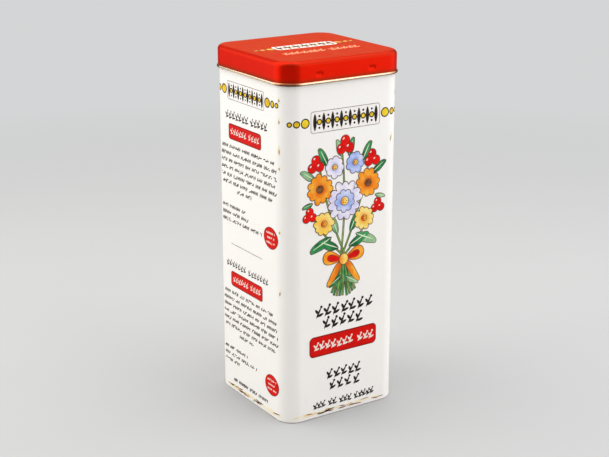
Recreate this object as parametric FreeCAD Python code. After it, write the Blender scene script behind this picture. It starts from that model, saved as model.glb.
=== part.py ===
# Tall square tea tin with a slip lid, shut and full, as it stands on a shelf.
#
# Three pieces of tinplate share one frame: the body, taken as solid because it is shut, the lid pushed
# down over its neck, and the base plate crimped into its foot. Units are millimetres, +Z is up, and the
# origin is on the floor under the middle of the tin. The front panel faces -Y.
import FreeCAD, Part
import math
import os

from FreeCAD import Vector

# Body
BODY_WIDTH = 65.0  # along X, wall to wall
BODY_DEPTH = 65.0  # along Y, wall to wall
BODY_CORNER_RADIUS = 8.7  # upright corners
TIN_HEIGHT = 175.5  # floor to the top of the lid
FOOT_ROUND = 0.7  # where the walls turn under at the floor

# Lid
LID_HEIGHT = 10.9  # top of the lid to the lowest point of its curl
LID_SHEET = 0.25  # tinplate of the lid
LID_GAP = 0.4  # free space between the body's wall and the lid's skirt
LID_SHOULDER_RADIUS = 2.2  # outer rounding between the lid's top and its skirt
CURL_HEIGHT = 1.4  # the rolled edge at the foot of the skirt
CURL_PROUD = 0.55  # how far the curl stands out of the skirt

# Dimples that grip the body: short notches pressed inwards on the front and the back of the skirt
DIMPLE_OFFSET = 14.5  # from the middle of the panel to the middle of a dimple
DIMPLE_RISE = 3.0  # above the top of the curl
DIMPLE_HEIGHT = 2.4  # at the skirt's outer face
DIMPLE_RUN = 1.8  # straight length between a dimple's round ends
DIMPLE_CLEARANCE = 0.1  # left between a dimple's inner side and the body's wall

# Foot and base plate
HEM_WIDTH = 2.4  # the folded rim that the tin stands on
HEM_INNER_ROUND = 0.6
BASE_RECESS = 2.6  # floor to the top of the base plate
BASE_SHEET = 0.3  # tinplate of the base plate's flange
BASE_CLEARANCE = 0.1  # around the base plate, inside the hem
BASE_PANEL_INSET = 5.0  # from the base plate's edge to its pressed panel
BASE_PANEL_CORNER_RADIUS = 4.0  # the pressed panel's upright corners
BASE_PANEL_DROP = 0.8  # how far the pressed panel comes down
BASE_PANEL_ROUND = 0.5

# Places worked out from the sizes above. Offsets are measured outwards from the body's wall.
LID_SOFFIT_Z = TIN_HEIGHT - LID_SHEET
CURL_BOTTOM_Z = TIN_HEIGHT - LID_HEIGHT
CURL_TOP_Z = CURL_BOTTOM_Z + CURL_HEIGHT
SKIRT_INNER_OFFSET = LID_GAP
SKIRT_OUTER_OFFSET = LID_GAP + LID_SHEET
NECK_ROUND = LID_SHOULDER_RADIUS - SKIRT_OUTER_OFFSET
DIMPLE_DEPTH = LID_GAP - DIMPLE_CLEARANCE
DIMPLE_Z = CURL_TOP_Z + DIMPLE_RISE

CUT_OVERRUN = 1.0  # how far a cutting block runs past the face that it opens
TOLERANCE = 1e-6
PARTS_FOLDER = "parts"


def body_outline(offset, corner_radius=None):
    """The tin's outline on the floor plane, moved outwards by offset (inwards if it is negative).

    Its corners follow the body's unless they are given a radius of their own.
    """
    half_x = BODY_WIDTH / 2 + offset
    half_y = BODY_DEPTH / 2 + offset
    radius = BODY_CORNER_RADIUS + offset if corner_radius is None else corner_radius
    bulge = radius * (1 - math.sqrt(0.5))
    edges = []
    for turn in range(4):
        # Each quarter holds one wall and the corner after it, seen with the wall at +X.
        across, along = (half_x, half_y) if turn % 2 == 0 else (half_y, half_x)
        wall_start = Vector(across, -along + radius, 0)
        wall_end = Vector(across, along - radius, 0)
        corner_middle = Vector(across - bulge, along - bulge, 0)
        corner_end = Vector(across - radius, along, 0)
        quarter = [
            Part.LineSegment(wall_start, wall_end).toShape(),
            Part.Arc(wall_end, corner_middle, corner_end).toShape(),
        ]
        for edge in quarter:
            edge.rotate(Vector(0, 0, 0), Vector(0, 0, 1), 90 * turn)
            edges.append(edge)
    return Part.Wire(edges)


def block(offset, bottom_z, top_z, corner_radius=None):
    """A solid block with the tin's outline moved by offset, between two heights."""
    floor = Part.Face(body_outline(offset, corner_radius))
    floor.translate(Vector(0, 0, bottom_z))
    return floor.extrude(Vector(0, 0, top_z - bottom_z))


def edges_on_outline(shape, height, offset):
    """The edges at one height that lie on the tin's outline moved by offset."""
    reach_x = BODY_WIDTH / 2 + offset
    reach_y = BODY_DEPTH / 2 + offset
    found = []
    for edge in shape.Edges:
        box = edge.BoundBox
        flat = abs(box.ZMin - height) < TOLERANCE and abs(box.ZMax - height) < TOLERANCE
        reach = max(abs(box.XMin), abs(box.XMax)) / reach_x
        reach = max(reach, max(abs(box.YMin), abs(box.YMax)) / reach_y)
        if flat and abs(reach - 1) < TOLERANCE:
            found.append(edge)
    return found


def make_tin_body():
    """The shut body: upright walls, a rounded neck inside the lid, and a hemmed foot round a recess."""
    body = block(0, 0, LID_SOFFIT_Z)
    body = body.makeFillet(NECK_ROUND, edges_on_outline(body, LID_SOFFIT_Z, 0))
    body = body.makeFillet(FOOT_ROUND, edges_on_outline(body, 0, 0))
    body = body.cut(block(-HEM_WIDTH, -CUT_OVERRUN, BASE_RECESS))
    return body.makeFillet(HEM_INNER_ROUND, edges_on_outline(body, 0, -HEM_WIDTH))


def curl_section():
    """The curl's section in the XZ plane, with X measured outwards from the body's wall."""
    turn_in = LID_SHEET / 2
    crease = Vector(SKIRT_OUTER_OFFSET, 0, CURL_TOP_Z)
    nose = Vector(SKIRT_OUTER_OFFSET + CURL_PROUD, 0, CURL_TOP_Z - CURL_HEIGHT / 2)
    lowest = Vector(SKIRT_INNER_OFFSET + turn_in, 0, CURL_BOTTOM_Z)
    inner_low = Vector(SKIRT_INNER_OFFSET, 0, CURL_BOTTOM_Z + turn_in)
    inner_high = Vector(SKIRT_INNER_OFFSET, 0, CURL_TOP_Z)
    return Part.Wire(
        [
            Part.Arc(crease, nose, lowest).toShape(),
            Part.LineSegment(lowest, inner_low).toShape(),
            Part.LineSegment(inner_low, inner_high).toShape(),
            Part.LineSegment(inner_high, crease).toShape(),
        ]
    )


def make_curl():
    """The rolled edge, run once round the tin: straight along each wall and turned at each corner."""
    section = Part.Face(curl_section())
    curl = None
    for turn in range(4):
        across, along = (BODY_WIDTH, BODY_DEPTH) if turn % 2 == 0 else (BODY_DEPTH, BODY_WIDTH)
        straight = along - 2 * BODY_CORNER_RADIUS
        start = section.copy()
        start.translate(Vector(across / 2, -straight / 2, 0))
        length = start.extrude(Vector(0, straight, 0))
        end = section.copy()
        end.translate(Vector(across / 2, straight / 2, 0))
        corner_centre = Vector(across / 2 - BODY_CORNER_RADIUS, straight / 2, 0)
        corner = end.revolve(corner_centre, Vector(0, 0, 1), 90)
        for piece in (length, corner):
            piece.rotate(Vector(0, 0, 0), Vector(0, 0, 1), 90 * turn)
            curl = piece if curl is None else curl.fuse(piece)
    return curl.removeSplitter()


def bar_with_round_ends(centre, radius):
    """A round bar along X whose straight length is a dimple's run, with a half ball at each end."""
    half_run = DIMPLE_RUN / 2
    slant = radius * math.sqrt(0.5)
    left_tip = Vector(-half_run - radius, 0, 0)
    left_side = Vector(-half_run, radius, 0)
    right_side = Vector(half_run, radius, 0)
    right_tip = Vector(half_run + radius, 0, 0)
    outline = Part.Wire(
        [
            Part.Arc(left_tip, Vector(-half_run - slant, slant, 0), left_side).toShape(),
            Part.LineSegment(left_side, right_side).toShape(),
            Part.Arc(right_side, Vector(half_run + slant, slant, 0), right_tip).toShape(),
            Part.LineSegment(right_tip, left_tip).toShape(),
        ]
    )
    bar = Part.Face(outline).revolve(Vector(0, 0, 0), Vector(1, 0, 0), 360)
    bar.translate(centre)
    return bar


def dimple_bars():
    """The pair of bars, on one axis in front of the skirt, that shape a dimple's outer and inner side."""
    half_height = DIMPLE_HEIGHT / 2
    outer_radius = (half_height**2 + DIMPLE_DEPTH**2) / (2 * DIMPLE_DEPTH)
    centre_y = BODY_DEPTH / 2 + SKIRT_OUTER_OFFSET + outer_radius - DIMPLE_DEPTH
    pairs = []
    for side in (-1, 1):
        for offset in (-DIMPLE_OFFSET, DIMPLE_OFFSET):
            centre = Vector(offset, side * centre_y, DIMPLE_Z)
            outer = bar_with_round_ends(centre, outer_radius)
            inner = bar_with_round_ends(centre, outer_radius + LID_SHEET)
            pairs.append((outer, inner))
    return pairs


def make_lid():
    """The lid: one drawn sheet with a rounded shoulder, an outward curl and four grip dimples."""
    curl_middle_z = CURL_TOP_Z - CURL_HEIGHT / 2
    outside = block(SKIRT_OUTER_OFFSET, curl_middle_z, TIN_HEIGHT)
    top_edges = edges_on_outline(outside, TIN_HEIGHT, SKIRT_OUTER_OFFSET)
    outside = outside.makeFillet(LID_SHOULDER_RADIUS, top_edges)
    inside = block(SKIRT_INNER_OFFSET, CURL_BOTTOM_Z - CUT_OVERRUN, LID_SOFFIT_Z)
    soffit_edges = edges_on_outline(inside, LID_SOFFIT_Z, SKIRT_INNER_OFFSET)
    inside = inside.makeFillet(LID_SHOULDER_RADIUS - LID_SHEET, soffit_edges)
    lid = outside.cut(inside).fuse(make_curl())
    for outer, inner in dimple_bars():
        lid = lid.fuse(inner.common(inside)).cut(outer)
    return lid.removeSplitter()


def make_base_plate():
    """The base plate: a flange under the body's floor and a shallow pressed panel, clear of the hem."""
    flange_offset = -(HEM_WIDTH + BASE_CLEARANCE)
    panel_offset = flange_offset - BASE_PANEL_INSET
    flange_z = BASE_RECESS - BASE_SHEET
    panel_z = flange_z - BASE_PANEL_DROP
    flange = block(flange_offset, flange_z, BASE_RECESS)
    panel = block(panel_offset, panel_z, BASE_RECESS, BASE_PANEL_CORNER_RADIUS)
    panel = panel.makeFillet(BASE_PANEL_ROUND, edges_on_outline(panel, panel_z, panel_offset))
    return flange.fuse(panel).removeSplitter()


def save(name, shape):
    """Checks that a piece is one valid solid, and writes it to its own file."""
    solids = shape.Solids
    if len(solids) != 1 or not solids[0].isValid():
        raise RuntimeError(f"{name} is not one valid solid")
    solids[0].exportStep(os.path.join(PARTS_FOLDER, f"{name}.step"))
    print(f"{name}: {solids[0].Volume:.1f} mm3, {len(solids[0].Faces)} faces")


def main():
    """Builds the three pieces."""
    os.makedirs(PARTS_FOLDER, exist_ok=True)
    save("tin_body", make_tin_body())
    save("lid", make_lid())
    save("base_plate", make_base_plate())


main()
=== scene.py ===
"""Looks of a tall square tea tin with a slip lid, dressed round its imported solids.

The print is drawn flat, as on a sheet before it is rolled up, and then wrapped round the tin's walls.
Pieces are in metres, written as millimetres times MM, and the print's plan is in plain millimetres.
The front panel faces -Y.
"""

import logging
import math
import random
from contextlib import contextmanager
from dataclasses import dataclass, field
from enum import Enum
from typing import Callable, ClassVar, Iterator, Optional, Sequence

import bmesh
import bpy
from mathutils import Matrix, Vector


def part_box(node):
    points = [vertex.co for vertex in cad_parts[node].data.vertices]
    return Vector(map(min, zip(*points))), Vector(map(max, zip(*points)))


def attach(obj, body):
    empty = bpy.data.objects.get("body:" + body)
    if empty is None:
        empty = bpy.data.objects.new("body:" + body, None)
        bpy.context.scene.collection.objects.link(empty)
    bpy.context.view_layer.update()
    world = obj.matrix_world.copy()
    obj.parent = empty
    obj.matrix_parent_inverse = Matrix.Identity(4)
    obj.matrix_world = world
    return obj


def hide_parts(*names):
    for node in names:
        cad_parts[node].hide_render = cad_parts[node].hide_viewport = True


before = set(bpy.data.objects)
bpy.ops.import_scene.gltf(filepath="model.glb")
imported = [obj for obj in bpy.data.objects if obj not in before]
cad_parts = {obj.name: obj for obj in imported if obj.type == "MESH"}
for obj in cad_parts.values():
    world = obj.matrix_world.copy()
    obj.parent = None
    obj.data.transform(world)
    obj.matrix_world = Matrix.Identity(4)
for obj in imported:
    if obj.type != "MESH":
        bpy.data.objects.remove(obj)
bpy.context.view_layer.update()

MM = 0.001
# Two places less than this far apart, in metres, count as one.
NEAR = 1e-6
BODY = "root"
LOG = logging.getLogger("tea_tin")

Colour = tuple[float, float, float]
Span = tuple[float, float]
Piece = bpy.types.Object
Node = bpy.types.Node
Socket = bpy.types.NodeSocket
Tree = bpy.types.NodeTree


class Kind(Enum):
    """What an edit works on."""

    VERT = "verts"
    EDGE = "edges"
    FACE = "faces"


class Slot(Enum):
    """Names of material slots, which each printed sheet keeps but nothing reads."""

    BODY = "white_lacquer"
    LID = "red_lacquer"


# ---------------------------------------------------------------------------------------------------
# The bench: small helpers round Blender's own modelling tools
# ---------------------------------------------------------------------------------------------------


def only(*pieces: Piece) -> None:
    """Selects these pieces alone and makes the first one active.

    Args:
        pieces: the pieces to select.
    """
    bpy.ops.object.select_all(action="DESELECT")
    for piece in pieces:
        piece.select_set(True)
    bpy.context.view_layer.objects.active = pieces[0]


def active() -> Piece:
    """Returns the piece that was added or made active last."""
    return bpy.context.view_layer.objects.active


@contextmanager
def opened(piece: Piece) -> Iterator[Piece]:
    """Opens a piece in edit mode with nothing of it selected, and closes it afterwards.

    Args:
        piece: the piece to edit.

    Returns:
        An iterator that gives the piece once.
    """
    only(piece)
    bpy.ops.object.mode_set(mode="EDIT")
    bpy.ops.mesh.select_all(action="DESELECT")
    yield piece
    bpy.ops.object.mode_set(mode="OBJECT")


def pick(piece: Piece, kind: Kind, test: Callable[..., bool]) -> None:
    """Selects those elements of an opened piece that pass a test, and nothing else.

    Args:
        piece: the opened piece.
        kind: which elements are tested and selected.
        test: takes a vertex, edge or face, and says whether it is wanted.
    """
    bpy.ops.mesh.select_mode(type=kind.name)
    bpy.ops.mesh.select_all(action="DESELECT")
    mesh = bmesh.from_edit_mesh(piece.data)
    wanted = [element for element in getattr(mesh, kind.value) if test(element)]
    for element in wanted:
        element.select_set(True)
    mesh.select_flush_mode()
    bmesh.update_edit_mesh(piece.data)


def upright(edge: bmesh.types.BMEdge) -> bool:
    """Says whether an edge stands straight up."""
    run = edge.verts[0].co - edge.verts[1].co
    return abs(run.x) < NEAR and abs(run.y) < NEAR


def level_at(height: float) -> Callable[..., bool]:
    """Makes a test for elements that lie wholly at one height.

    Args:
        height: the height in metres.

    Returns:
        A test that takes an edge or a face.
    """
    return lambda element: all(abs(vertex.co.z - height) < NEAR for vertex in element.verts)


def place_in_mesh(piece: Piece) -> None:
    """Moves a piece's place, turn and size from its object into its mesh."""
    only(piece)
    bpy.ops.object.transform_apply(location=True, rotation=True, scale=True)


def apply_modifier(piece: Piece, kind: str, **settings: object) -> None:
    """Adds a modifier to a piece and applies it.

    Args:
        piece: the piece to change.
        kind: Blender's name of the modifier's type.
        settings: the modifier's own settings.
    """
    modifier = piece.modifiers.new(kind.lower(), kind)
    for name, value in settings.items():
        setattr(modifier, name, value)
    only(piece)
    bpy.ops.object.modifier_apply(modifier=modifier.name)


def join(name: str, pieces: Sequence[Piece]) -> Piece:
    """Joins pieces into one mesh at the origin.

    Args:
        name: the joined piece's name.
        pieces: what is joined. They are used up.

    Returns:
        The joined piece.
    """
    only(*pieces)
    if len(pieces) > 1:
        bpy.ops.object.join()
    joined = active()
    joined.name = name
    joined.data.name = name
    place_in_mesh(joined)
    return joined


def finish_surface(piece: Piece, angle: float = 35.0) -> None:
    """Smooths a piece's rounded faces and keeps its wide faces flat.

    Args:
        piece: the piece to smooth.
        angle: the least angle in degrees between two faces that leaves a sharp edge.
    """
    only(piece)
    bpy.ops.object.shade_smooth_by_angle(angle=math.radians(angle))
    apply_modifier(piece, "WEIGHTED_NORMAL", keep_sharp=True, weight=80)


def hand_over(piece: Piece, finish: "Finish", stands_for: Sequence[str] = ()) -> None:
    """Dresses a finished piece, fixes it to the tin and reports it.

    Args:
        piece: the finished piece.
        finish: what it is finished with.
        stands_for: the solids that the piece takes the place of.
    """
    piece.data.materials.clear()
    piece.data.materials.append(finish.material())
    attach(piece, BODY)
    if stands_for:
        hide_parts(*stands_for)
    LOG.info("%s: %d faces, finished in %s", piece.name, len(piece.data.polygons), finish.name)


# ---------------------------------------------------------------------------------------------------
# Sizes
# ---------------------------------------------------------------------------------------------------


@dataclass(frozen=True)
class TinSizes:
    """The tin's sizes in metres. Overall sizes come from its solids, and the rest are a tinsmith's."""

    half_width: float
    half_depth: float
    top_z: float
    soffit_z: float
    curl_bottom_z: float
    curl_reach: float
    base_plate_z: float
    corner_radius: float = 8.7 * MM
    foot_round: float = 0.7 * MM
    hem_width: float = 2.4 * MM
    hem_inner_round: float = 0.6 * MM
    lid_gap: float = 0.4 * MM
    shoulder_radius: float = 2.2 * MM
    curl_height: float = 1.4 * MM
    dimple_offset: float = 14.5 * MM
    dimple_rise: float = 3.0 * MM
    dimple_height: float = 2.4 * MM
    dimple_run: float = 1.8 * MM
    dimple_depth: float = 0.3 * MM
    print_room: float = 0.06 * MM

    @property
    def sheet(self) -> float:
        """The thickness of the lid's tinplate."""
        return self.top_z - self.soffit_z

    @property
    def lid_top_z(self) -> float:
        """The height of the lid's bare top. Its print stands a little above it."""
        return self.top_z - self.print_room

    @property
    def curl_top_z(self) -> float:
        """The height of the crease between the skirt and the curl."""
        return self.curl_bottom_z + self.curl_height

    @property
    def wall_run(self) -> float:
        """Half the flat width of a wall, from its middle to where the corner starts."""
        return self.half_width - self.corner_radius

    @property
    def quarter(self) -> float:
        """The length of a quarter of the way round, from one corner's middle to the next."""
        return 2 * self.wall_run + math.pi / 2 * self.corner_radius

    @classmethod
    def from_frame(cls) -> "TinSizes":
        """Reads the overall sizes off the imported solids.

        Returns:
            The tin's sizes.
        """
        body_low, body_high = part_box("tin_body")
        lid_low, lid_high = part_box("lid")
        return cls(
            half_width=(body_high.x - body_low.x) / 2,
            half_depth=(body_high.y - body_low.y) / 2,
            top_z=lid_high.z,
            soffit_z=body_high.z,
            curl_bottom_z=lid_low.z,
            curl_reach=lid_high.x - body_high.x,
            base_plate_z=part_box("base_plate")[1].z,
        )


# ---------------------------------------------------------------------------------------------------
# Finishes
# ---------------------------------------------------------------------------------------------------


RISE: Span = (0.0, 1.0)
FADE: Span = (1.0, 0.0)
# Most of a noise pattern lies between these two values.
NOISE: Span = (0.3, 0.7)


def opaque(colour: object) -> object:
    """Gives a plain colour its alpha, and leaves a socket as it is."""
    return (*colour, 1.0) if isinstance(colour, tuple) and len(colour) == 3 else colour


def dimmed(colour: Colour, share: float) -> Colour:
    """Returns a colour with only this share of its light."""
    return tuple(share * part for part in colour)


def lengths(shares: Span, whole: float, start: float = 0.0) -> Span:
    """Turns two shares of a whole into two lengths from a start.

    Args:
        shares: the two shares.
        whole: the length that a share of 1 stands for.
        start: what is added to both.

    Returns:
        The two lengths.
    """
    return start + shares[0] * whole, start + shares[1] * whole


class Board:
    """A shader drawing board: adds nodes to a tree and joins them up."""

    def __init__(self, tree: Tree) -> None:
        """Takes the node tree to draw on."""
        self.tree = tree

    def node(self, kind: str, **settings: object) -> Node:
        """Adds a node.

        Args:
            kind: the node's type, without its ShaderNode prefix.
            settings: the node's own settings.

        Returns:
            The new node.
        """
        made = self.tree.nodes.new(f"ShaderNode{kind}")
        for name, value in settings.items():
            setattr(made, name, value)
        return made

    def feed(self, socket: Socket, value: object) -> None:
        """Fills an input.

        Args:
            socket: the input.
            value: another node's output, or a plain value.
        """
        if isinstance(value, Socket):
            self.tree.links.new(value, socket)
        else:
            socket.default_value = value

    def put(self, node: Node, values: dict[str, object]) -> Node:
        """Fills a node's inputs, with a plain value or with another node's output.

        Args:
            node: the node to fill.
            values: input name to value or output socket.

        Returns:
            The same node.
        """
        for name, value in values.items():
            self.feed(next(entry for entry in node.inputs if entry.name == name and entry.enabled), value)
        return node

    def math(self, operation: str, first: object, second: object = 0.0) -> Socket:
        """Adds a Math node and returns its output.

        Args:
            operation: Blender's name of the sum.
            first: the first value or socket.
            second: the second value or socket.

        Returns:
            The result's socket.
        """
        made = self.node("Math", operation=operation)
        for socket, value in zip(made.inputs, (first, second)):
            self.feed(socket, value)
        return made.outputs[0]

    def ramp(self, value: object, span: Span, to: Span = RISE) -> Socket:
        """Maps a value from one span to another, held at its ends.

        Args:
            value: the socket to map.
            span: the values that give the first and the last result.
            to: the first and the last result.

        Returns:
            The result's socket.
        """
        made = self.node("MapRange", clamp=True)
        filled = {"Value": value, "From Min": span[0], "From Max": span[1], "To Min": to[0], "To Max": to[1]}
        return self.put(made, filled).outputs["Result"]

    def mix(self, share: object, first: object, second: object) -> Socket:
        """Mixes two colours.

        Args:
            share: how much of the second colour there is, from 0 to 1.
            first: a colour or a socket.
            second: a colour or a socket.

        Returns:
            The mixed colour's socket.
        """
        made = self.node("Mix", data_type="RGBA")
        self.put(made, {"Factor": share, "A": opaque(first), "B": opaque(second)})
        return next(entry for entry in made.outputs if entry.enabled)

    def place(self) -> Socket:
        """Returns the place on the piece, in metres in the tin's own frame."""
        return self.node("TexCoord").outputs["Object"]

    def stretched(self, scale: Sequence[float]) -> Socket:
        """Returns the place on the piece, scaled by its own factor along each axis."""
        mapping = self.node("Mapping")
        return self.put(mapping, {"Vector": self.place(), "Scale": tuple(scale)}).outputs["Vector"]

    def noise(self, place: object, scale: object, detail: float = 2.0, rough: float = 0.5) -> Socket:
        """Adds a noise pattern.

        Args:
            place: where the pattern is read.
            scale: how many times it repeats in a metre, as a value or socket.
            detail: how many finer layers it has.
            rough: how strong the finer layers are.

        Returns:
            The pattern's value, about 0.5 on average.
        """
        made = self.node("TexNoise")
        filled = {"Vector": place, "Scale": scale, "Detail": detail, "Roughness": rough}
        return self.put(made, filled).outputs[0]

    def blend(self, share: object, first: Node, second: Node, output: str) -> None:
        """Blends two shaders and sends the result to the output.

        Args:
            share: how much of the second shader there is, from 0 to 1.
            first: a shader.
            second: a shader.
            output: the output node's type, without its ShaderNode prefix.
        """
        blended = self.node("MixShader")
        for socket, value in zip(blended.inputs, (share, first.outputs[0], second.outputs[0])):
            self.feed(socket, value)
        self.feed(self.node(output).inputs["Surface"], blended.outputs[0])


class Effects:
    """Shader groups that several finishes share, each built once."""

    _made: dict[str, Tree] = {}

    @classmethod
    def _built(
        cls,
        name: str,
        inputs: dict[str, tuple[str, object]],
        output: tuple[str, str],
        draw: Callable[[Board, bpy.types.NodeOutputs], Socket],
    ) -> Tree:
        """Builds a group with named inputs and one output the first time it is asked for.

        Args:
            name: the group's name.
            inputs: input name to its socket type and default value.
            output: the output's name and its socket type.
            draw: draws on the group's board from its incoming sockets, and gives the result's socket.

        Returns:
            The group.
        """
        if name not in cls._made:
            tree = bpy.data.node_groups.new(name, "ShaderNodeTree")
            for key, (kind, default) in inputs.items():
                socket = tree.interface.new_socket(name=key, in_out="INPUT", socket_type=f"NodeSocket{kind}")
                socket.default_value = default
            tree.interface.new_socket(name=output[0], in_out="OUTPUT", socket_type=f"NodeSocket{output[1]}")
            given = tree.nodes.new("NodeGroupInput").outputs
            result = tree.nodes.new("NodeGroupOutput").inputs
            tree.links.new(draw(Board(tree), given), result[0])
            cls._made[name] = tree
        return cls._made[name]

    @classmethod
    def sheet_ripple(cls) -> Tree:
        """Gives the relief of rolled sheet: slow waves over the panel and a fine lacquer skin.

        Returns:
            A group whose output is a height.
        """

        def draw(board: Board, given: bpy.types.NodeOutputs) -> Socket:
            """Adds the skin to the waves.

            Args:
                board: the group's board.
                given: the group's inputs, how high the waves and the skin are.

            Returns:
                The height of both.
            """
            place = board.place()
            wave = board.math("MULTIPLY", board.noise(place, scale=34.0, detail=1.0), given["Wave"])
            skin = board.math("MULTIPLY", board.noise(place, scale=1400.0), given["Skin"])
            return board.math("ADD", wave, skin)

        inputs = {"Wave": ("Float", 1.0), "Skin": ("Float", 1.0)}
        return cls._built("sheet_ripple", inputs, ("Height", "Float"), draw)

    @classmethod
    def print_grain(cls) -> Tree:
        """Gives a colour the slight unevenness of ink rolled onto metal.

        Returns:
            A group whose output is a colour.
        """
        fine_share, broad_share = 0.6, 0.4

        def draw(board: Board, given: bpy.types.NodeOutputs) -> Socket:
            """Lightens and darkens the colour by a fine and a broad noise.

            Args:
                board: the group's board.
                given: the group's inputs, the colour and how strong and how fine the grain is.

            Returns:
                The uneven colour.
            """
            place = board.place()
            fine = board.noise(place, given["Scale"], detail=3.0, rough=0.6)
            broad = board.noise(place, scale=60.0)
            fine_part = board.math("MULTIPLY", fine, fine_share)
            both = board.math("ADD", fine_part, board.math("MULTIPLY", broad, broad_share))
            swing = board.math("MULTIPLY", board.math("SUBTRACT", both, 0.5), given["Strength"])
            tone = board.node("HueSaturation")
            value = board.math("ADD", board.math("MULTIPLY", swing, 2.0), 1.0)
            return board.put(tone, {"Color": given["Color"], "Value": value}).outputs[0]

        inputs = {
            "Color": ("Color", (1.0, 1.0, 1.0, 1.0)),
            "Strength": ("Float", 0.1),
            "Scale": ("Float", 900.0),
        }
        return cls._built("print_grain", inputs, ("Color", "Color"), draw)

    @classmethod
    def wash(cls) -> Tree:
        """Says how far a water-based colour has run: a soft, patchy share from 0 to 1.

        Returns:
            A group whose output is a share.
        """

        def draw(board: Board, given: bpy.types.NodeOutputs) -> Socket:
            """Spreads a noise round its middle.

            Args:
                board: the group's board.
                given: the group's inputs, how often the patches repeat, how sharp and how wide they are.

            Returns:
                The share.
            """
            patch = board.node("TexNoise")
            filled = {"Vector": board.place(), "Scale": given["Scale"], "Detail": 3.0, "Roughness": 0.55}
            board.put(patch, filled)
            centred = board.math("ADD", board.math("SUBTRACT", patch.outputs[0], 0.5), given["Bias"])
            spread = board.math("ADD", board.math("MULTIPLY", centred, given["Contrast"]), 0.5)
            return board.ramp(spread, RISE)

        inputs = {"Scale": ("Float", 250.0), "Contrast": ("Float", 3.0), "Bias": ("Float", 0.0)}
        return cls._built("wash", inputs, ("Share", "Float"), draw)


@dataclass(frozen=True)
class Finish:
    """A surface finish. Each kind draws its own shader and is built once for each name."""

    name: str

    def material(self) -> bpy.types.Material:
        """Builds the finish's material the first time it is asked for.

        Returns:
            The material.
        """
        made = bpy.data.materials.get(self.name)
        if made is None:
            made = bpy.data.materials.new(self.name)
            made.use_nodes = True
            made.node_tree.nodes.clear()
            board = Board(made.node_tree)
            shader = board.node("BsdfPrincipled")
            board.tree.links.new(shader.outputs[0], board.node("OutputMaterial").inputs["Surface"])
            self.draw(board, shader)
        return made

    def draw(self, board: Board, shader: Node) -> None:
        """Draws what leads into the shader.

        Args:
            board: the material's board.
            shader: its Principled BSDF.
        """
        raise NotImplementedError

    def group(self, board: Board, tree: Tree, **values: object) -> Socket:
        """Places a shared effect and returns its output.

        Args:
            board: the material's board.
            tree: the shared effect.
            values: its inputs.

        Returns:
            The effect's output socket.
        """
        placed = board.node("Group")
        placed.node_tree = tree
        return board.put(placed, values).outputs[0]

    def relief(self, board: Board, shader: Node, height: object, depth: float) -> None:
        """Raises the surface by a height pattern.

        Args:
            board: the material's board.
            shader: its Principled BSDF.
            height: the pattern's socket.
            depth: the relief in metres that a height of 1 stands for.
        """
        bump = board.put(board.node("Bump"), {"Height": height, "Distance": depth, "Strength": 1.0})
        board.tree.links.new(bump.outputs[0], shader.inputs["Normal"])


@dataclass(frozen=True)
class Enamel(Finish):
    """Opaque enamel baked on tinplate, with a clear varnish."""

    colour: Colour = (0.87, 0.87, 0.865)
    matt: Span = (0.30, 0.38)

    def draw(self, board: Board, shader: Node) -> None:
        """Draws the enamel.

        Args:
            board: the material's board.
            shader: its Principled BSDF.
        """
        grain = {"Color": opaque(self.colour), "Strength": 0.03, "Scale": 500.0}
        shade = self.group(board, Effects.print_grain(), **grain)
        ripple = self.group(board, Effects.sheet_ripple(), Wave=1.0, Skin=0.012)
        matt = board.ramp(board.noise(board.place(), scale=120.0, detail=3.0), NOISE, self.matt)
        board.put(shader, {"Base Color": shade, "Roughness": matt, "Specular IOR Level": 0.3})
        self.relief(board, shader, ripple, depth=0.00012)


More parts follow.
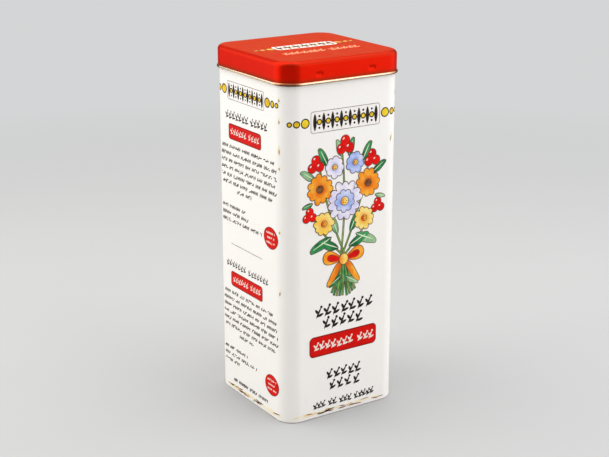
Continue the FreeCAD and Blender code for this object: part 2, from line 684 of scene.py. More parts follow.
@dataclass(frozen=True)
class TintedLacquer(Finish):
    """Clear coloured lacquer over bright tin, which tints what the tin mirrors.

    It is painted darker in a band along the foot of the skirt, a painted shade for the crease above the
    curl, and painted darker over the shoulder, more along the front and the back than along the sides, a
    painted shade that tones down the lamps' highlight there: from a little below the top to the shoulder's
    foot, in shares of the shoulder's height.
    """

    crease_shade_z: float = 0.0
    crease_shade_height: float = 1.0 * MM
    top_z: float = 0.0
    shoulder: float = 1.0 * MM
    colour: Colour = (0.69, 0.007, 0.0012)
    # Painted shade at the crease above the curl.
    crease_shade_colour: Colour = (0.30, 0.022, 0.006)
    crease_shade_falloff: float = 1.6
    # Painted shade over the shoulder: along the front and back, and along the sides.
    shoulder_shade_colour: Colour = (0.50, 0.015, 0.0045)
    side_shoulder_shade_colour: Colour = (0.62, 0.012, 0.003)
    shoulder_shade_starts: Span = (0.0, 0.1)
    shoulder_shade_ends: Span = (0.6, 1.0)
    edge_tint: Colour = (1.0, 0.52, 0.09)
    matt: Span = (0.30, 0.36)

    def draw(self, board: Board, shader: Node) -> None:
        """Draws the lacquer.

        Args:
            board: the material's board.
            shader: its Principled BSDF.
        """
        spot = board.put(board.node("SeparateXYZ"), {"Vector": board.place()}).outputs
        # Painted shade: the colour darkens towards the crease above the curl.
        share = board.ramp(spot["Z"], (self.crease_shade_z, self.crease_shade_z + self.crease_shade_height), FADE)
        shade = board.mix(board.math("POWER", share, self.crease_shade_falloff), self.colour, self.crease_shade_colour)
        # Painted shade over the shoulder, darker along the front and back than the sides, toning down the
        # lamps' highlight there.
        drop = board.math("DIVIDE", board.math("SUBTRACT", self.top_z, spot["Z"]), self.shoulder)
        starts = board.ramp(drop, self.shoulder_shade_starts)
        stretched = board.math("MULTIPLY", starts, board.ramp(drop, self.shoulder_shade_ends, FADE))
        ways = [board.math("ABSOLUTE", spot[name]) for name in ("X", "Y")]
        side = board.ramp(board.math("SUBTRACT", *ways), (-self.shoulder, self.shoulder))
        shade = board.mix(stretched, shade, board.mix(side, self.shoulder_shade_colour, self.side_shoulder_shade_colour))
        shade = self.group(board, Effects.print_grain(), Color=shade, Strength=0.05, Scale=700.0)
        ripple = self.group(board, Effects.sheet_ripple(), Wave=1.0, Skin=0.02)
        matt = board.ramp(board.noise(board.place(), scale=150.0, detail=3.0), NOISE, self.matt)
        board.put(shader, {"Base Color": shade, "Roughness": matt, "Metallic": 0.55})
        board.put(shader, {"Specular IOR Level": 0.2, "Specular Tint": opaque(self.edge_tint)})
        self.relief(board, shader, ripple, depth=0.00012)


@dataclass(frozen=True)
class RolledTin(Finish):
    """Bright tinplate under thin gold varnish, drawn along the bead, with painted shade on its underside.

    The painted shade is darkest where the bead is rolled round the corners, which are painted darker over
    its bright middle too, and palest along the sides, where painted light falls. A painted reflection of the
    red skirt lies along its top. The bands under and over its bright middle are in shares of its height, and
    where a side and a corner start are in shares of the half width and of its square.
    """

    bottom_z: float = 0.0
    height: float = 1.0 * MM
    half_width: float = 30.0 * MM
    colour: Colour = (0.92, 0.75, 0.55)
    # Painted shade over the bright middle at the corners.
    corner_shade_colour: Colour = (0.44, 0.20, 0.12)
    # Painted shade on the underside: at the corners, along the front and back, and palest along the sides.
    brown: Colour = (0.10, 0.034, 0.016)
    run_under_shade: Colour = (0.38, 0.27, 0.18)
    side_under_shade: Colour = (0.95, 0.80, 0.64)
    # Painted reflection of the red skirt along the top of the bead, paler along the sides.
    skirt_reflection: Colour = (0.62, 0.20, 0.07)
    side_skirt_reflection: Colour = (0.86, 0.42, 0.22)
    under: Span = (0.26, 0.46)
    over: Span = (0.74, 0.92)
    unevenness: float = 0.3
    side_starts: Span = (0.94, 0.98)
    corner_starts: Span = (0.69, 0.79)
    matt: Span = (0.16, 0.26)

    def draw(self, board: Board, shader: Node) -> None:
        """Draws the varnished metal.

        Args:
            board: the material's board.
            shader: its Principled BSDF.
        """
        spot = board.put(board.node("SeparateXYZ"), {"Vector": board.place()}).outputs
        scores = board.noise(board.stretched((1.0, 1.0, 9.0)), scale=600.0, detail=3.0)
        uneven = board.math("MULTIPLY", board.math("SUBTRACT", scores, 0.5), self.unevenness * self.height)
        level = board.math("ADD", spot["Z"], uneven)
        under = board.ramp(level, lengths(self.under, self.height, self.bottom_z), FADE)
        over = board.ramp(level, lengths(self.over, self.height, self.bottom_z))
        side, corner = self.whereabouts(board, spot)
        # Painted shade at the corners over the bright middle.
        bright = board.mix(corner, self.colour, self.corner_shade_colour)
        # Painted shade on the underside, darkest at the corners and palest along the sides.
        shaded_underside = board.mix(corner, board.mix(side, self.run_under_shade, self.side_under_shade), self.brown)
        # Painted reflection of the red skirt along the bead's top.
        skirt_reflection = board.mix(side, self.skirt_reflection, self.side_skirt_reflection)
        shade = board.mix(over, board.mix(under, bright, shaded_underside), skirt_reflection)
        shade = self.group(board, Effects.print_grain(), Color=shade, Strength=0.12, Scale=500.0)
        matt = board.ramp(scores, NOISE, self.matt)
        board.put(shader, {"Base Color": shade, "Roughness": matt, "Metallic": 1.0})
        self.relief(board, shader, scores, depth=0.00001)

    def whereabouts(self, board: Board, spot: bpy.types.NodeOutputs) -> tuple[Socket, Socket]:
        """Finds where round the tin a point of the bead is.

        Args:
            board: the material's board.
            spot: the point's X, Y and Z.

        Returns:
            How far it is on the left or right side, and how far it is in a corner, each from 0 to 1.
        """
        across = board.math("ABSOLUTE", spot["X"])
        side = board.ramp(across, lengths(self.side_starts, self.half_width))
        product = board.math("ABSOLUTE", board.math("MULTIPLY", spot["X"], spot["Y"]))
        return side, board.ramp(product, lengths(self.corner_starts, self.half_width ** 2))


@dataclass(frozen=True)
class BareTinplate(Finish):
    """Plain tinplate with the faint grain of the rolling mill."""

    colour: Colour = (0.66, 0.64, 0.60)
    dullness: float = 0.82
    matt: Span = (0.26, 0.46)

    def draw(self, board: Board, shader: Node) -> None:
        """Draws the mill grain.

        Args:
            board: the material's board.
            shader: its Principled BSDF.
        """
        grain = board.noise(board.stretched((1.0, 22.0, 22.0)), scale=260.0, detail=4.0, rough=0.6)
        bloom = self.group(board, Effects.wash(), Scale=90.0, Contrast=2.0, Bias=0.0)
        shade = board.mix(bloom, self.colour, dimmed(self.colour, self.dullness))
        matt = board.ramp(grain, NOISE, self.matt)
        board.put(shader, {"Base Color": shade, "Roughness": matt, "Metallic": 1.0})
        self.relief(board, shader, grain, depth=0.00002)


@dataclass(frozen=True)
class Ink(Finish):
    """Printed ink under the tin's varnish.

    An ink may run into a second colour in patches, and into a third towards the base of each mark.
    """

    colour: Colour = (0.5, 0.5, 0.5)
    patch: Optional[Colour] = None
    root: Optional[Colour] = None
    patch_scale: float = 260.0
    grain: float = 0.10
    root_fades: Span = (0.08, 0.62)
    matt: Span = (0.34, 0.44)

    def draw(self, board: Board, shader: Node) -> None:
        """Draws the ink.

        Args:
            board: the material's board.
            shader: its Principled BSDF.
        """
        shade: object = opaque(self.colour)
        if self.patch is not None:
            share = self.group(board, Effects.wash(), Scale=self.patch_scale, Contrast=3.5, Bias=0.0)
            shade = board.mix(share, shade, self.patch)
        if self.root is not None:
            along = board.node("SeparateXYZ")
            board.put(along, {"Vector": board.node("TexCoord").outputs["UV"]})
            share = board.ramp(along.outputs["X"], self.root_fades, FADE)
            shade = board.mix(share, shade, self.root)
        shade = self.group(board, Effects.print_grain(), Color=shade, Strength=self.grain, Scale=1100.0)
        matt = board.ramp(board.noise(board.place(), scale=300.0), NOISE, self.matt)
        board.put(shader, {"Base Color": shade, "Roughness": matt, "Specular IOR Level": 0.09})


class Palette:
    """The tin's finishes and inks."""

    WALL = Enamel("white_enamel")
    BASE = BareTinplate("mill_tinplate")
    BLACK = Ink("ink_black_brown", (0.013, 0.009, 0.008), (0.034, 0.022, 0.017), patch_scale=500.0)
    SMALL = Ink("ink_small_marks", (0.022, 0.017, 0.014), (0.065, 0.050, 0.040), patch_scale=420.0)
    GREY = Ink("ink_frame_grey", (0.14, 0.135, 0.135), (0.38, 0.37, 0.365), patch_scale=700.0)
    GOLD = Ink("ink_gold", (0.84, 0.64, 0.035), (0.70, 0.42, 0.015), patch_scale=350.0)
    RED = Ink("ink_plaque_red", (0.66, 0.005, 0.003), (0.57, 0.004, 0.003), patch_scale=160.0, grain=0.06)
    RED_EDGE = Ink("ink_plaque_edge", (0.20, 0.006, 0.004), (0.34, 0.008, 0.005), patch_scale=300.0)
    WHITE = Ink("ink_white", (0.84, 0.80, 0.76), (0.80, 0.66, 0.60), patch_scale=500.0)
    CARAMEL = Ink("ink_caramel_wash", (0.84, 0.76, 0.54), (0.86, 0.83, 0.76), patch_scale=200.0)
    BROWN = Ink("ink_brown", (0.10, 0.038, 0.016), (0.36, 0.15, 0.045), patch_scale=380.0)
    CONTOUR = Ink("ink_contour", (0.055, 0.022, 0.022), (0.15, 0.06, 0.035), patch_scale=420.0)
    LILAC = Ink("ink_lilac", (0.62, 0.61, 0.86), (0.86, 0.84, 0.90), (0.36, 0.40, 0.84))
    BLUE = Ink("ink_blue", (0.30, 0.42, 0.84), (0.60, 0.66, 0.88), (0.12, 0.20, 0.66))
    ORANGE = Ink("ink_orange", (0.86, 0.25, 0.012), (0.90, 0.46, 0.05), (0.62, 0.045, 0.006))
    YELLOW = Ink("ink_yellow", (0.90, 0.56, 0.06), (0.88, 0.72, 0.26), (0.80, 0.26, 0.012))
    AMBER = Ink("ink_amber", (0.72, 0.50, 0.24), (0.82, 0.70, 0.44), patch_scale=500.0)
    LID_GOLD = Ink("ink_lid_gold", (0.78, 0.44, 0.07), (0.64, 0.26, 0.04), patch_scale=350.0)
    UMBER = Ink("ink_umber", (0.15, 0.115, 0.08), (0.36, 0.29, 0.21), patch_scale=500.0)
    BERRY = Ink("ink_berry_red", (0.78, 0.007, 0.004), (0.58, 0.004, 0.003), patch_scale=320.0)
    LEAF = Ink("ink_leaf_green", (0.012, 0.17, 0.05), (0.06, 0.33, 0.12), (0.006, 0.08, 0.03))
    MOSS = Ink("ink_moss_green", (0.10, 0.24, 0.05), (0.26, 0.40, 0.12))
    SAGE = Ink("ink_sage_green", (0.16, 0.42, 0.20), (0.40, 0.58, 0.34), (0.03, 0.20, 0.08))
    MINT = Ink("ink_mint", (0.55, 0.74, 0.50), (0.70, 0.80, 0.60))
    BLUSH = Ink("ink_blush_tint", (0.855, 0.825, 0.82), (0.865, 0.855, 0.85), patch_scale=150.0)
    PEACH = Ink("ink_peach", (0.84, 0.34, 0.20), (0.84, 0.24, 0.12), patch_scale=600.0)


# ---------------------------------------------------------------------------------------------------
# Metalwork
# ---------------------------------------------------------------------------------------------------


@dataclass
class Metalwork:
    """The tin's own pieces: the walled body, the pressed lid, its rolled edge and the base plate."""

    sizes: TinSizes
    corner_steps: int = 24
    round_steps: int = 8
    # How high the lid's painted crease shade reaches above the curl.
    crease_shade_band: float = 2.2 * MM
    dimple_spread: float = 0.62
    cut_pitch: float = 0.3 * MM
    cuts_across: int = 10
    cuts_upward: int = 6

    def build(self) -> None:
        """Makes and dresses every piece of tinplate."""
        sizes = self.sizes
        hand_over(self.wall(), Palette.WALL, ["tin_body"])
        shoulder = {"top_z": sizes.lid_top_z, "shoulder": sizes.shoulder_radius}
        lacquer = TintedLacquer("red_lacquer_on_tin", sizes.curl_top_z, self.crease_shade_band, **shoulder)
        hand_over(self.lid_cap(), lacquer, ["lid"])
        reach = sizes.half_width + sizes.curl_reach
        varnish = RolledTin("gold_varnished_tin", sizes.curl_bottom_z, sizes.curl_height, reach)
        hand_over(self.curl(), varnish)
        self.dress_base_plate()

    def block(self, name: str, reach: float, bottom_z: float, top_z: float) -> Piece:
        """Starts a piece as a block with the tin's rounded outline.

        Args:
            name: the piece's name.
            reach: how far the outline stands out of the body's wall.
            bottom_z: the block's underside.
            top_z: the block's top.

        Returns:
            The block.
        """
        sizes = self.sizes
        spans = (2 * (sizes.half_width + reach), 2 * (sizes.half_depth + reach), top_z - bottom_z)
        bpy.ops.object.select_all(action="DESELECT")
        bpy.ops.mesh.primitive_cube_add(size=1, location=(0, 0, (bottom_z + top_z) / 2), scale=spans)
        block = active()
        block.name = name
        place_in_mesh(block)
        with opened(block):
            pick(block, Kind.EDGE, upright)
            self.bevel(sizes.corner_radius + reach, self.corner_steps)
        return block

    @staticmethod
    def bevel(width: float, steps: int) -> None:
        """Rounds the selected edges of the opened piece.

        Args:
            width: the rounding's radius.
            steps: how many faces the rounding has.
        """
        bpy.ops.mesh.bevel(offset=width, segments=steps, profile=0.5, affect="EDGES", clamp_overlap=False)

    def wall(self) -> Piece:
        """Makes the body's walls, the neck inside the lid, and the folded foot with its recess.

        Returns:
            The body.
        """
        sizes = self.sizes
        body = self.block("body_wall", 0.0, 0.0, sizes.soffit_z)
        neck_round = sizes.shoulder_radius - sizes.sheet - sizes.lid_gap
        with opened(body):
            pick(body, Kind.EDGE, level_at(sizes.soffit_z))
            self.bevel(neck_round, self.round_steps)
            pick(body, Kind.EDGE, level_at(0.0))
            self.bevel(sizes.foot_round, self.round_steps)
            pick(body, Kind.FACE, level_at(0.0))
            bpy.ops.mesh.inset(thickness=sizes.hem_width - sizes.foot_round)
            bpy.ops.mesh.extrude_region_move(TRANSFORM_OT_translate={"value": (0, 0, sizes.base_plate_z)})
            pick(body, Kind.EDGE, lambda edge: level_at(0.0)(edge) and self.meets_upright(edge))
            self.bevel(sizes.hem_inner_round, self.round_steps)
        finish_surface(body)
        return body

    @staticmethod
    def meets_upright(edge: bmesh.types.BMEdge) -> bool:
        """Says whether an edge is one side of an upright face."""
        most_tilt = 0.1
        return any(abs(face.normal.z) < most_tilt for face in edge.link_faces)

    def lid_cap(self) -> Piece:
        """Makes the lid's sheet: its flat top, rounded shoulder and skirt with pressed dimples.

        Returns:
            The lid's sheet.
        """
        sizes = self.sizes
        reach = sizes.lid_gap + sizes.sheet
        foot_z = sizes.curl_top_z - sizes.curl_height / 2
        lid = self.block("lid_cap", reach, foot_z, sizes.lid_top_z)
        with opened(lid):
            pick(lid, Kind.EDGE, level_at(sizes.lid_top_z))
            self.bevel(sizes.shoulder_radius, 2 * self.round_steps)
            pick(lid, Kind.FACE, level_at(foot_z))
            bpy.ops.mesh.delete(type="FACE")
        self.press_dimples(lid, sizes.half_depth + reach)
        apply_modifier(lid, "SOLIDIFY", thickness=sizes.sheet, offset=-1.0, use_even_offset=True)
        finish_surface(lid)
        return lid

    def press_dimples(self, lid: Piece, skirt_y: float) -> None:
        """Presses the grip dimples into the front and the back of the skirt.

        Args:
            lid: the lid's outer skin.
            skirt_y: how far the skirt's outer face is from the middle of the tin.
        """
        sizes = self.sizes
        dimple_z = sizes.curl_top_z + sizes.dimple_rise
        sides = (-1, 1)
        with opened(lid):
            for step in range(-self.cuts_upward, self.cuts_upward + 1):
                self.cut((0, 0, dimple_z + step * self.cut_pitch), (0, 0, 1))
            for side in sides:
                for step in range(-self.cuts_across, self.cuts_across + 1):
                    self.cut((side * sizes.dimple_offset + step * self.cut_pitch, 0, 0), (1, 0, 0))
            for face_side in sides:
                for side in sides:
                    self.press(lid, Vector((side * sizes.dimple_offset, face_side * skirt_y, dimple_z)))

    @staticmethod
    def cut(spot: Sequence[float], normal: Sequence[float]) -> None:
        """Cuts the opened piece's faces along a plane and keeps both sides.

        Args:
            spot: a point of the plane.
            normal: the plane's normal.
        """
        bpy.ops.mesh.select_all(action="SELECT")
        bpy.ops.mesh.bisect(plane_co=spot, plane_no=normal, use_fill=False)

    def press(self, lid: Piece, spot: Vector) -> None:
        """Presses one dimple inwards.

        Args:
            lid: the opened lid.
            spot: the dimple's middle on the skirt's outer face.
        """
        sizes = self.sizes
        slack = Vector((sizes.dimple_run / 2 + 1e-5, 1e-4, 1e-5))

        def on_ridge(vertex: bmesh.types.BMVert) -> bool:
            """Says whether a vertex lies on the dimple's straight middle line."""
            return all(abs(gap) < most for gap, most in zip(vertex.co - spot, slack))

        pick(lid, Kind.VERT, on_ridge)
        inwards = -math.copysign(sizes.dimple_depth, spot.y)
        bpy.ops.transform.translate(
            value=(0, inwards, 0),
            use_proportional_edit=True,
            use_proportional_connected=True,
            proportional_edit_falloff="SMOOTH",
            proportional_size=sizes.dimple_height * self.dimple_spread,
        )

    def curl(self) -> Piece:
        """Makes the lid's rolled edge: a bead round the foot of the skirt.

        Returns:
            The bead.
        """
        sizes = self.sizes
        ends = (sizes.curl_bottom_z, sizes.curl_top_z)
        proud = sizes.curl_reach - sizes.lid_gap - sizes.sheet
        bead = self.block("lid_curl", sizes.curl_reach, *ends)
        with opened(bead):
            for height in ends:
                pick(bead, Kind.EDGE, level_at(height))
                self.bevel(proud, self.round_steps)
                pick(bead, Kind.FACE, level_at(height))
                bpy.ops.mesh.inset(thickness=sizes.sheet)
            pick(bead, Kind.FACE, self.is_end)
            bpy.ops.mesh.bridge_edge_loops()
        finish_surface(bead, angle=50.0)
        return bead

    @staticmethod
    def is_end(face: bmesh.types.BMFace) -> bool:
        """Says whether a face is one of a block's two ends, which alone have more than four corners."""
        return len(face.verts) > 4

    def dress_base_plate(self) -> None:
        """Gives the base plate's own solid its mill finish."""
        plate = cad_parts["base_plate"]
        plate.data.materials.clear()
        plate.data.materials.append(Palette.BASE.material())
        LOG.info("%s: its own solid, finished in %s", plate.name, Palette.BASE.name)


# ---------------------------------------------------------------------------------------------------
# Stencils: the print's flat shapes, drawn with 1 unit to a millimetre
# ---------------------------------------------------------------------------------------------------


# The stencils that were modelled so far, as each is modelled once.
CUT_STENCILS: dict["Stencil", bpy.types.Mesh] = {}
HALF = 0.5


def add_disc(steps: int, radius: float) -> Piece:
    """Adds a filled circle round the origin.

    Args:
        steps: how many corners it has.
        radius: its radius.

    Returns:
        The disc.
    """
    bpy.ops.mesh.primitive_circle_add(vertices=steps, radius=radius, fill_type="NGON", calc_uvs=True)
    return active()


def bow(piece: Piece, angle: float) -> None:
    """Bends a flat shape within its own plane.

    Args:
        piece: the shape, drawn along X.
        angle: how far its two ends turn against each other, in degrees.
    """
    settings = {"deform_method": "BEND", "deform_axis": "Z", "angle": math.radians(angle)}
    apply_modifier(piece, "SIMPLE_DEFORM", **settings)


@dataclass(frozen=True)
class Stencil:
    """A flat shape that marks are stamped from. It is modelled once and then copied.

    Its thickness reaches from a quarter below the sheet to one unit above it, and each mark scales that
    to its own level.
    """

    BELOW: ClassVar[float] = 0.25
    ABOVE: ClassVar[float] = 1.0

    def mesh(self) -> bpy.types.Mesh:
        """Models the stencil the first time it is asked for.

        Returns:
            The stencil's mesh.
        """
        if self not in CUT_STENCILS:
            bpy.ops.object.select_all(action="DESELECT")
            piece = self.cut_out()
            thickness = self.ABOVE + self.BELOW
            middle = (self.ABOVE - self.BELOW) / thickness
            apply_modifier(piece, "SOLIDIFY", thickness=thickness, offset=middle)
            CUT_STENCILS[self] = piece.data
            bpy.data.objects.remove(piece)
        return CUT_STENCILS[self]

    def cut_out(self) -> Piece:
        """Returns the flat shape as a new piece."""
        raise NotImplementedError


@dataclass(frozen=True)
class Disc(Stencil):
    """A round dot, 1 across."""

    steps: int = 32

    def cut_out(self) -> Piece:
        """Returns the flat disc."""
        return add_disc(self.steps, HALF)


@dataclass(frozen=True)
class Lens(Stencil):
    """A slender shape with two pointed ends, 1 long and 1 wide, round its middle or from its root."""

    steps: int = 96
    rooted: bool = False
    bend: float = 0.0

    CREASES: ClassVar[tuple[float, ...]] = (-0.3, -0.15, 0.0, 0.15, 0.3)

    def cut_out(self) -> Piece:
        """Cuts the lens from a disc's edge and mirrors it.

        Returns:
            The flat lens.
        """
        piece = add_disc(self.steps, 1.0)
        level = HALF
        with opened(piece):
            bpy.ops.mesh.select_all(action="SELECT")
            bpy.ops.mesh.bisect(plane_co=(0, level, 0), plane_no=(0, 1, 0), clear_inner=True)
            bpy.ops.mesh.select_all(action="SELECT")
            bpy.ops.transform.translate(value=(0, -level, 0))
        apply_modifier(piece, "MIRROR", use_axis=(False, True, False), merge_threshold=0.0001)
        half = math.sqrt(1.0 - level * level)
        piece.scale = (HALF / half, HALF / (1.0 - level), 1.0)
        middle = HALF if self.rooted else 0.0
        piece.location.x = middle
        place_in_mesh(piece)
        if self.bend:
            with opened(piece):
                for share in self.CREASES:
                    bpy.ops.mesh.select_all(action="SELECT")
                    bpy.ops.mesh.bisect(plane_co=(share + middle, 0, 0), plane_no=(1, 0, 0))
            bow(piece, self.bend)
        return piece


@dataclass(frozen=True)
class Petal(Stencil):
    """A petal from its narrow root to its round tip, 1 long and 1 wide."""

    steps: int = 24
    taper: float = 1.1

    def cut_out(self) -> Piece:
        """Tapers a disc into a petal.

        Returns:
            The flat petal.
        """
        piece = add_disc(self.steps, HALF)
        apply_modifier(piece, "SIMPLE_DEFORM", deform_method="TAPER", deform_axis="X", factor=self.taper)
        span = piece.dimensions
        piece.scale = (1.0 / span.x, 1.0 / span.y, 1.0)
        place_in_mesh(piece)
        piece.location.x = HALF
        place_in_mesh(piece)
        return piece


@dataclass(frozen=True)
class Plaque(Stencil):
    """A rectangle with round corners, at its own size in millimetres."""

    length: float = 10.0
    width: float = 5.0
    radius: float = 1.0

    def cut_out(self) -> Piece:
        """Rounds the corners of a rectangle.

        Returns:
            The flat plaque.
        """
        bpy.ops.mesh.primitive_plane_add(size=1, calc_uvs=True)
        piece = active()
        piece.scale = (self.length, self.width, 1.0)
        place_in_mesh(piece)
        with opened(piece):
            bpy.ops.mesh.select_all(action="SELECT")
            bpy.ops.mesh.bevel(offset=self.radius, segments=8, affect="VERTICES", clamp_overlap=False)
        return piece


@dataclass(frozen=True)
class Hoop(Plaque):
    """The outline of a plaque, drawn with a thin line."""

    line: float = 0.25

    def cut_out(self) -> Piece:
        """Cuts the middle out of a plaque.

        Returns:
            The flat outline.
        """
        piece = super().cut_out()
        with opened(piece):
            bpy.ops.mesh.select_all(action="SELECT")
            bpy.ops.mesh.inset(thickness=self.line)
            bpy.ops.mesh.delete(type="FACE")
        return piece


@dataclass(frozen=True)
class Strip(Stencil):
    """A curved stroke at its own size in millimetres, from its root."""

    length: float = 10.0
    width: float = 0.6
    bend: float = 0.0

    def cut_out(self) -> Piece:
        """Bends a narrow rectangle.

        Returns:
            The flat stroke.
        """
        bpy.ops.mesh.primitive_grid_add(x_subdivisions=12, y_subdivisions=1, size=1, calc_uvs=True)
        piece = active()
        piece.scale = (self.length, self.width, 1.0)
        place_in_mesh(piece)
        if self.bend:
            bow(piece, self.bend)
        piece.location.x = self.length / 2
        place_in_mesh(piece)
        return piece


# ---------------------------------------------------------------------------------------------------
# The printed sheet
# ---------------------------------------------------------------------------------------------------


@dataclass(frozen=True)
class Mark:
    """One mark of the print: its shape, and where it lies on the flat sheet, in millimetres."""

    shape: Stencil
    across: float
    up: float
    length: float = 1.0
    width: float = 1.0
    turn: float = 0.0
    level: int = 0


@dataclass
class Sheet:
    """A flat sheet of print. The marks of one ink become one piece, as each ink has its own plate.

    Each mark lies a hair above the one before it, so that where two overlap, one of them covers the other.
    """

    name: str
    slot: Slot
    lowest: float = 0.030 * MM
    level_step: float = 0.016 * MM
    mark_step: float = 0.0011 * MM
    marks_a_level: int = 13
    marks: dict[Finish, list[Mark]] = field(default_factory=dict)

    def add(self, ink: Finish, shape: Stencil, across: float, up: float, **rest: float) -> None:
        """Adds a mark.

        Args:
            ink: the ink that it is printed in.
            shape: its stencil.
            across: its place along the sheet.
            up: its height on the sheet.
            rest: its length, width, turn and level.
        """
        self.marks.setdefault(ink, []).append(Mark(shape, across, up, **rest))

    def pull(self, ink: Finish) -> Piece:
        """Stamps every mark of one ink and joins them.

        Args:
            ink: the ink.

        Returns:
            The flat piece, in the plane z = 0.
        """
        copies = []
        for index, mark in enumerate(self.marks[ink]):
            copy = bpy.data.objects.new(self.name, mark.shape.mesh().copy())
            copy.location = (mark.across * MM, mark.up * MM, 0.0)
            copy.rotation_euler = (0.0, 0.0, math.radians(mark.turn))
            rise = self.lowest + mark.level * self.level_step + index % self.marks_a_level * self.mark_step
            copy.scale = (mark.length * MM, mark.width * MM, rise)
            bpy.context.scene.collection.objects.link(copy)
            copies.append(copy)
        return join(f"{self.name}_{ink.name}", copies)

    def print(self, press: Callable[[Piece], None]) -> None:
        """Pulls each ink, presses it onto the tin and hands it over.

        Args:
            press: lays a flat piece onto its surface of the tin.
        """
        for ink in self.marks:
            piece = self.pull(ink)
            press(piece)
            hand_over(piece, ink)


@dataclass
class Mandrel:
    """Rolls a flat sheet round the tin's walls, from the middle of its back left corner."""

    sizes: TinSizes
    corner_steps: int = 24
    corners_met: int = 3
    sharp_from: float = 30.0

    def outline(self) -> Piece:
        """Draws the walls' outline, counter-clockwise seen from above.

        Returns:
            The outline, as a curve.
        """
        sizes = self.sizes
        radius, flat = sizes.corner_radius, sizes.wall_run
        # With handles this long, a Bezier curve follows an eighth of a circle.
        handle = 4 / 3 * math.tan(math.pi / 16) * radius
        stops = []
        for quarter in range(4):
            normal = math.pi + quarter * math.pi / 2
            outward = Vector((math.cos(normal), math.sin(normal), 0.0))
            onward = Vector((-outward.y, outward.x, 0.0))
            centre = (outward - onward) * flat
            diagonal = (outward - onward).normalized()
            slant = (outward + onward).normalized()
            stops.append((centre + diagonal * radius, slant, handle, handle))
            stops.append((centre + outward * radius, onward, handle, 2 * flat / 3))
            stops.append((centre + outward * radius + onward * 2 * flat, onward, 2 * flat / 3, handle))
        stops.append(stops[0])
        curve = bpy.data.curves.new("outline", "CURVE")
        curve.dimensions = "2D"
        curve.resolution_u = self.corner_steps
        spline = curve.splines.new("BEZIER")
        spline.bezier_points.add(len(stops) - 1)
        for knot, (spot, heading, before, after) in zip(spline.bezier_points, stops):
            knot.handle_left_type = knot.handle_right_type = "FREE"
            knot.co = spot
            knot.handle_left = spot - heading * before
            knot.handle_right = spot + heading * after
        path = bpy.data.objects.new("outline", curve)
        bpy.context.scene.collection.objects.link(path)
        return path

    def roll(self, piece: Piece) -> None:
        """Stands a flat piece up, creases it where the corners come and wraps it round the walls.

        The back and the right side get the same print as the front and the left side.

        Args:
            piece: the flat piece.
        """
        sizes = self.sizes
        piece.rotation_euler.x = math.pi / 2
        place_in_mesh(piece)
        reach = math.pi / 4 * sizes.corner_radius
        with opened(piece):
            for corner in range(self.corners_met):
                for step in range(self.corner_steps + 1):
                    spot = corner * sizes.quarter + reach * (2 * step / self.corner_steps - 1)
                    bpy.ops.mesh.select_all(action="SELECT")
                    bpy.ops.mesh.bisect(plane_co=(spot, 0, 0), plane_no=(1, 0, 0))
        path = self.outline()
        apply_modifier(piece, "CURVE", object=path, deform_axis="POS_X")
        bpy.data.objects.remove(path)
        other = piece.copy()
        other.data = piece.data.copy()
        other.rotation_euler.z = math.pi
        bpy.context.scene.collection.objects.link(other)
        join(piece.name, [piece, other])
        only(piece)
        bpy.ops.object.shade_smooth_by_angle(angle=math.radians(self.sharp_from))


@dataclass(frozen=True)
class Row:
    """A row of the print: its ink, its ends, its foot and height, and how many sprigs each group has."""

    ink: Finish
    left: float
    right: float
    foot: float
    height: float
    groups: tuple[int, ...] = ()
    level: int = 0


@dataclass(frozen=True)
class Ornament:
    """A band of pointed shapes on a rounded ground, with three beads on either side.

    Its ground is given by its length, width and corner radius. Places across are from the panel's middle.
    """

    across: float
    up: float
    ground: tuple[float, float, float]
    band: Row
    count: int
    beads_left: float
    beads_right: float
    beads_up: float
    bead_size: float = 3.6
    thick: float = 0.23
    line: float = 0.3
    ground_ink: Finish = Palette.BLUSH
    bright: Finish = Palette.GOLD
    ring: Finish = Palette.BLACK


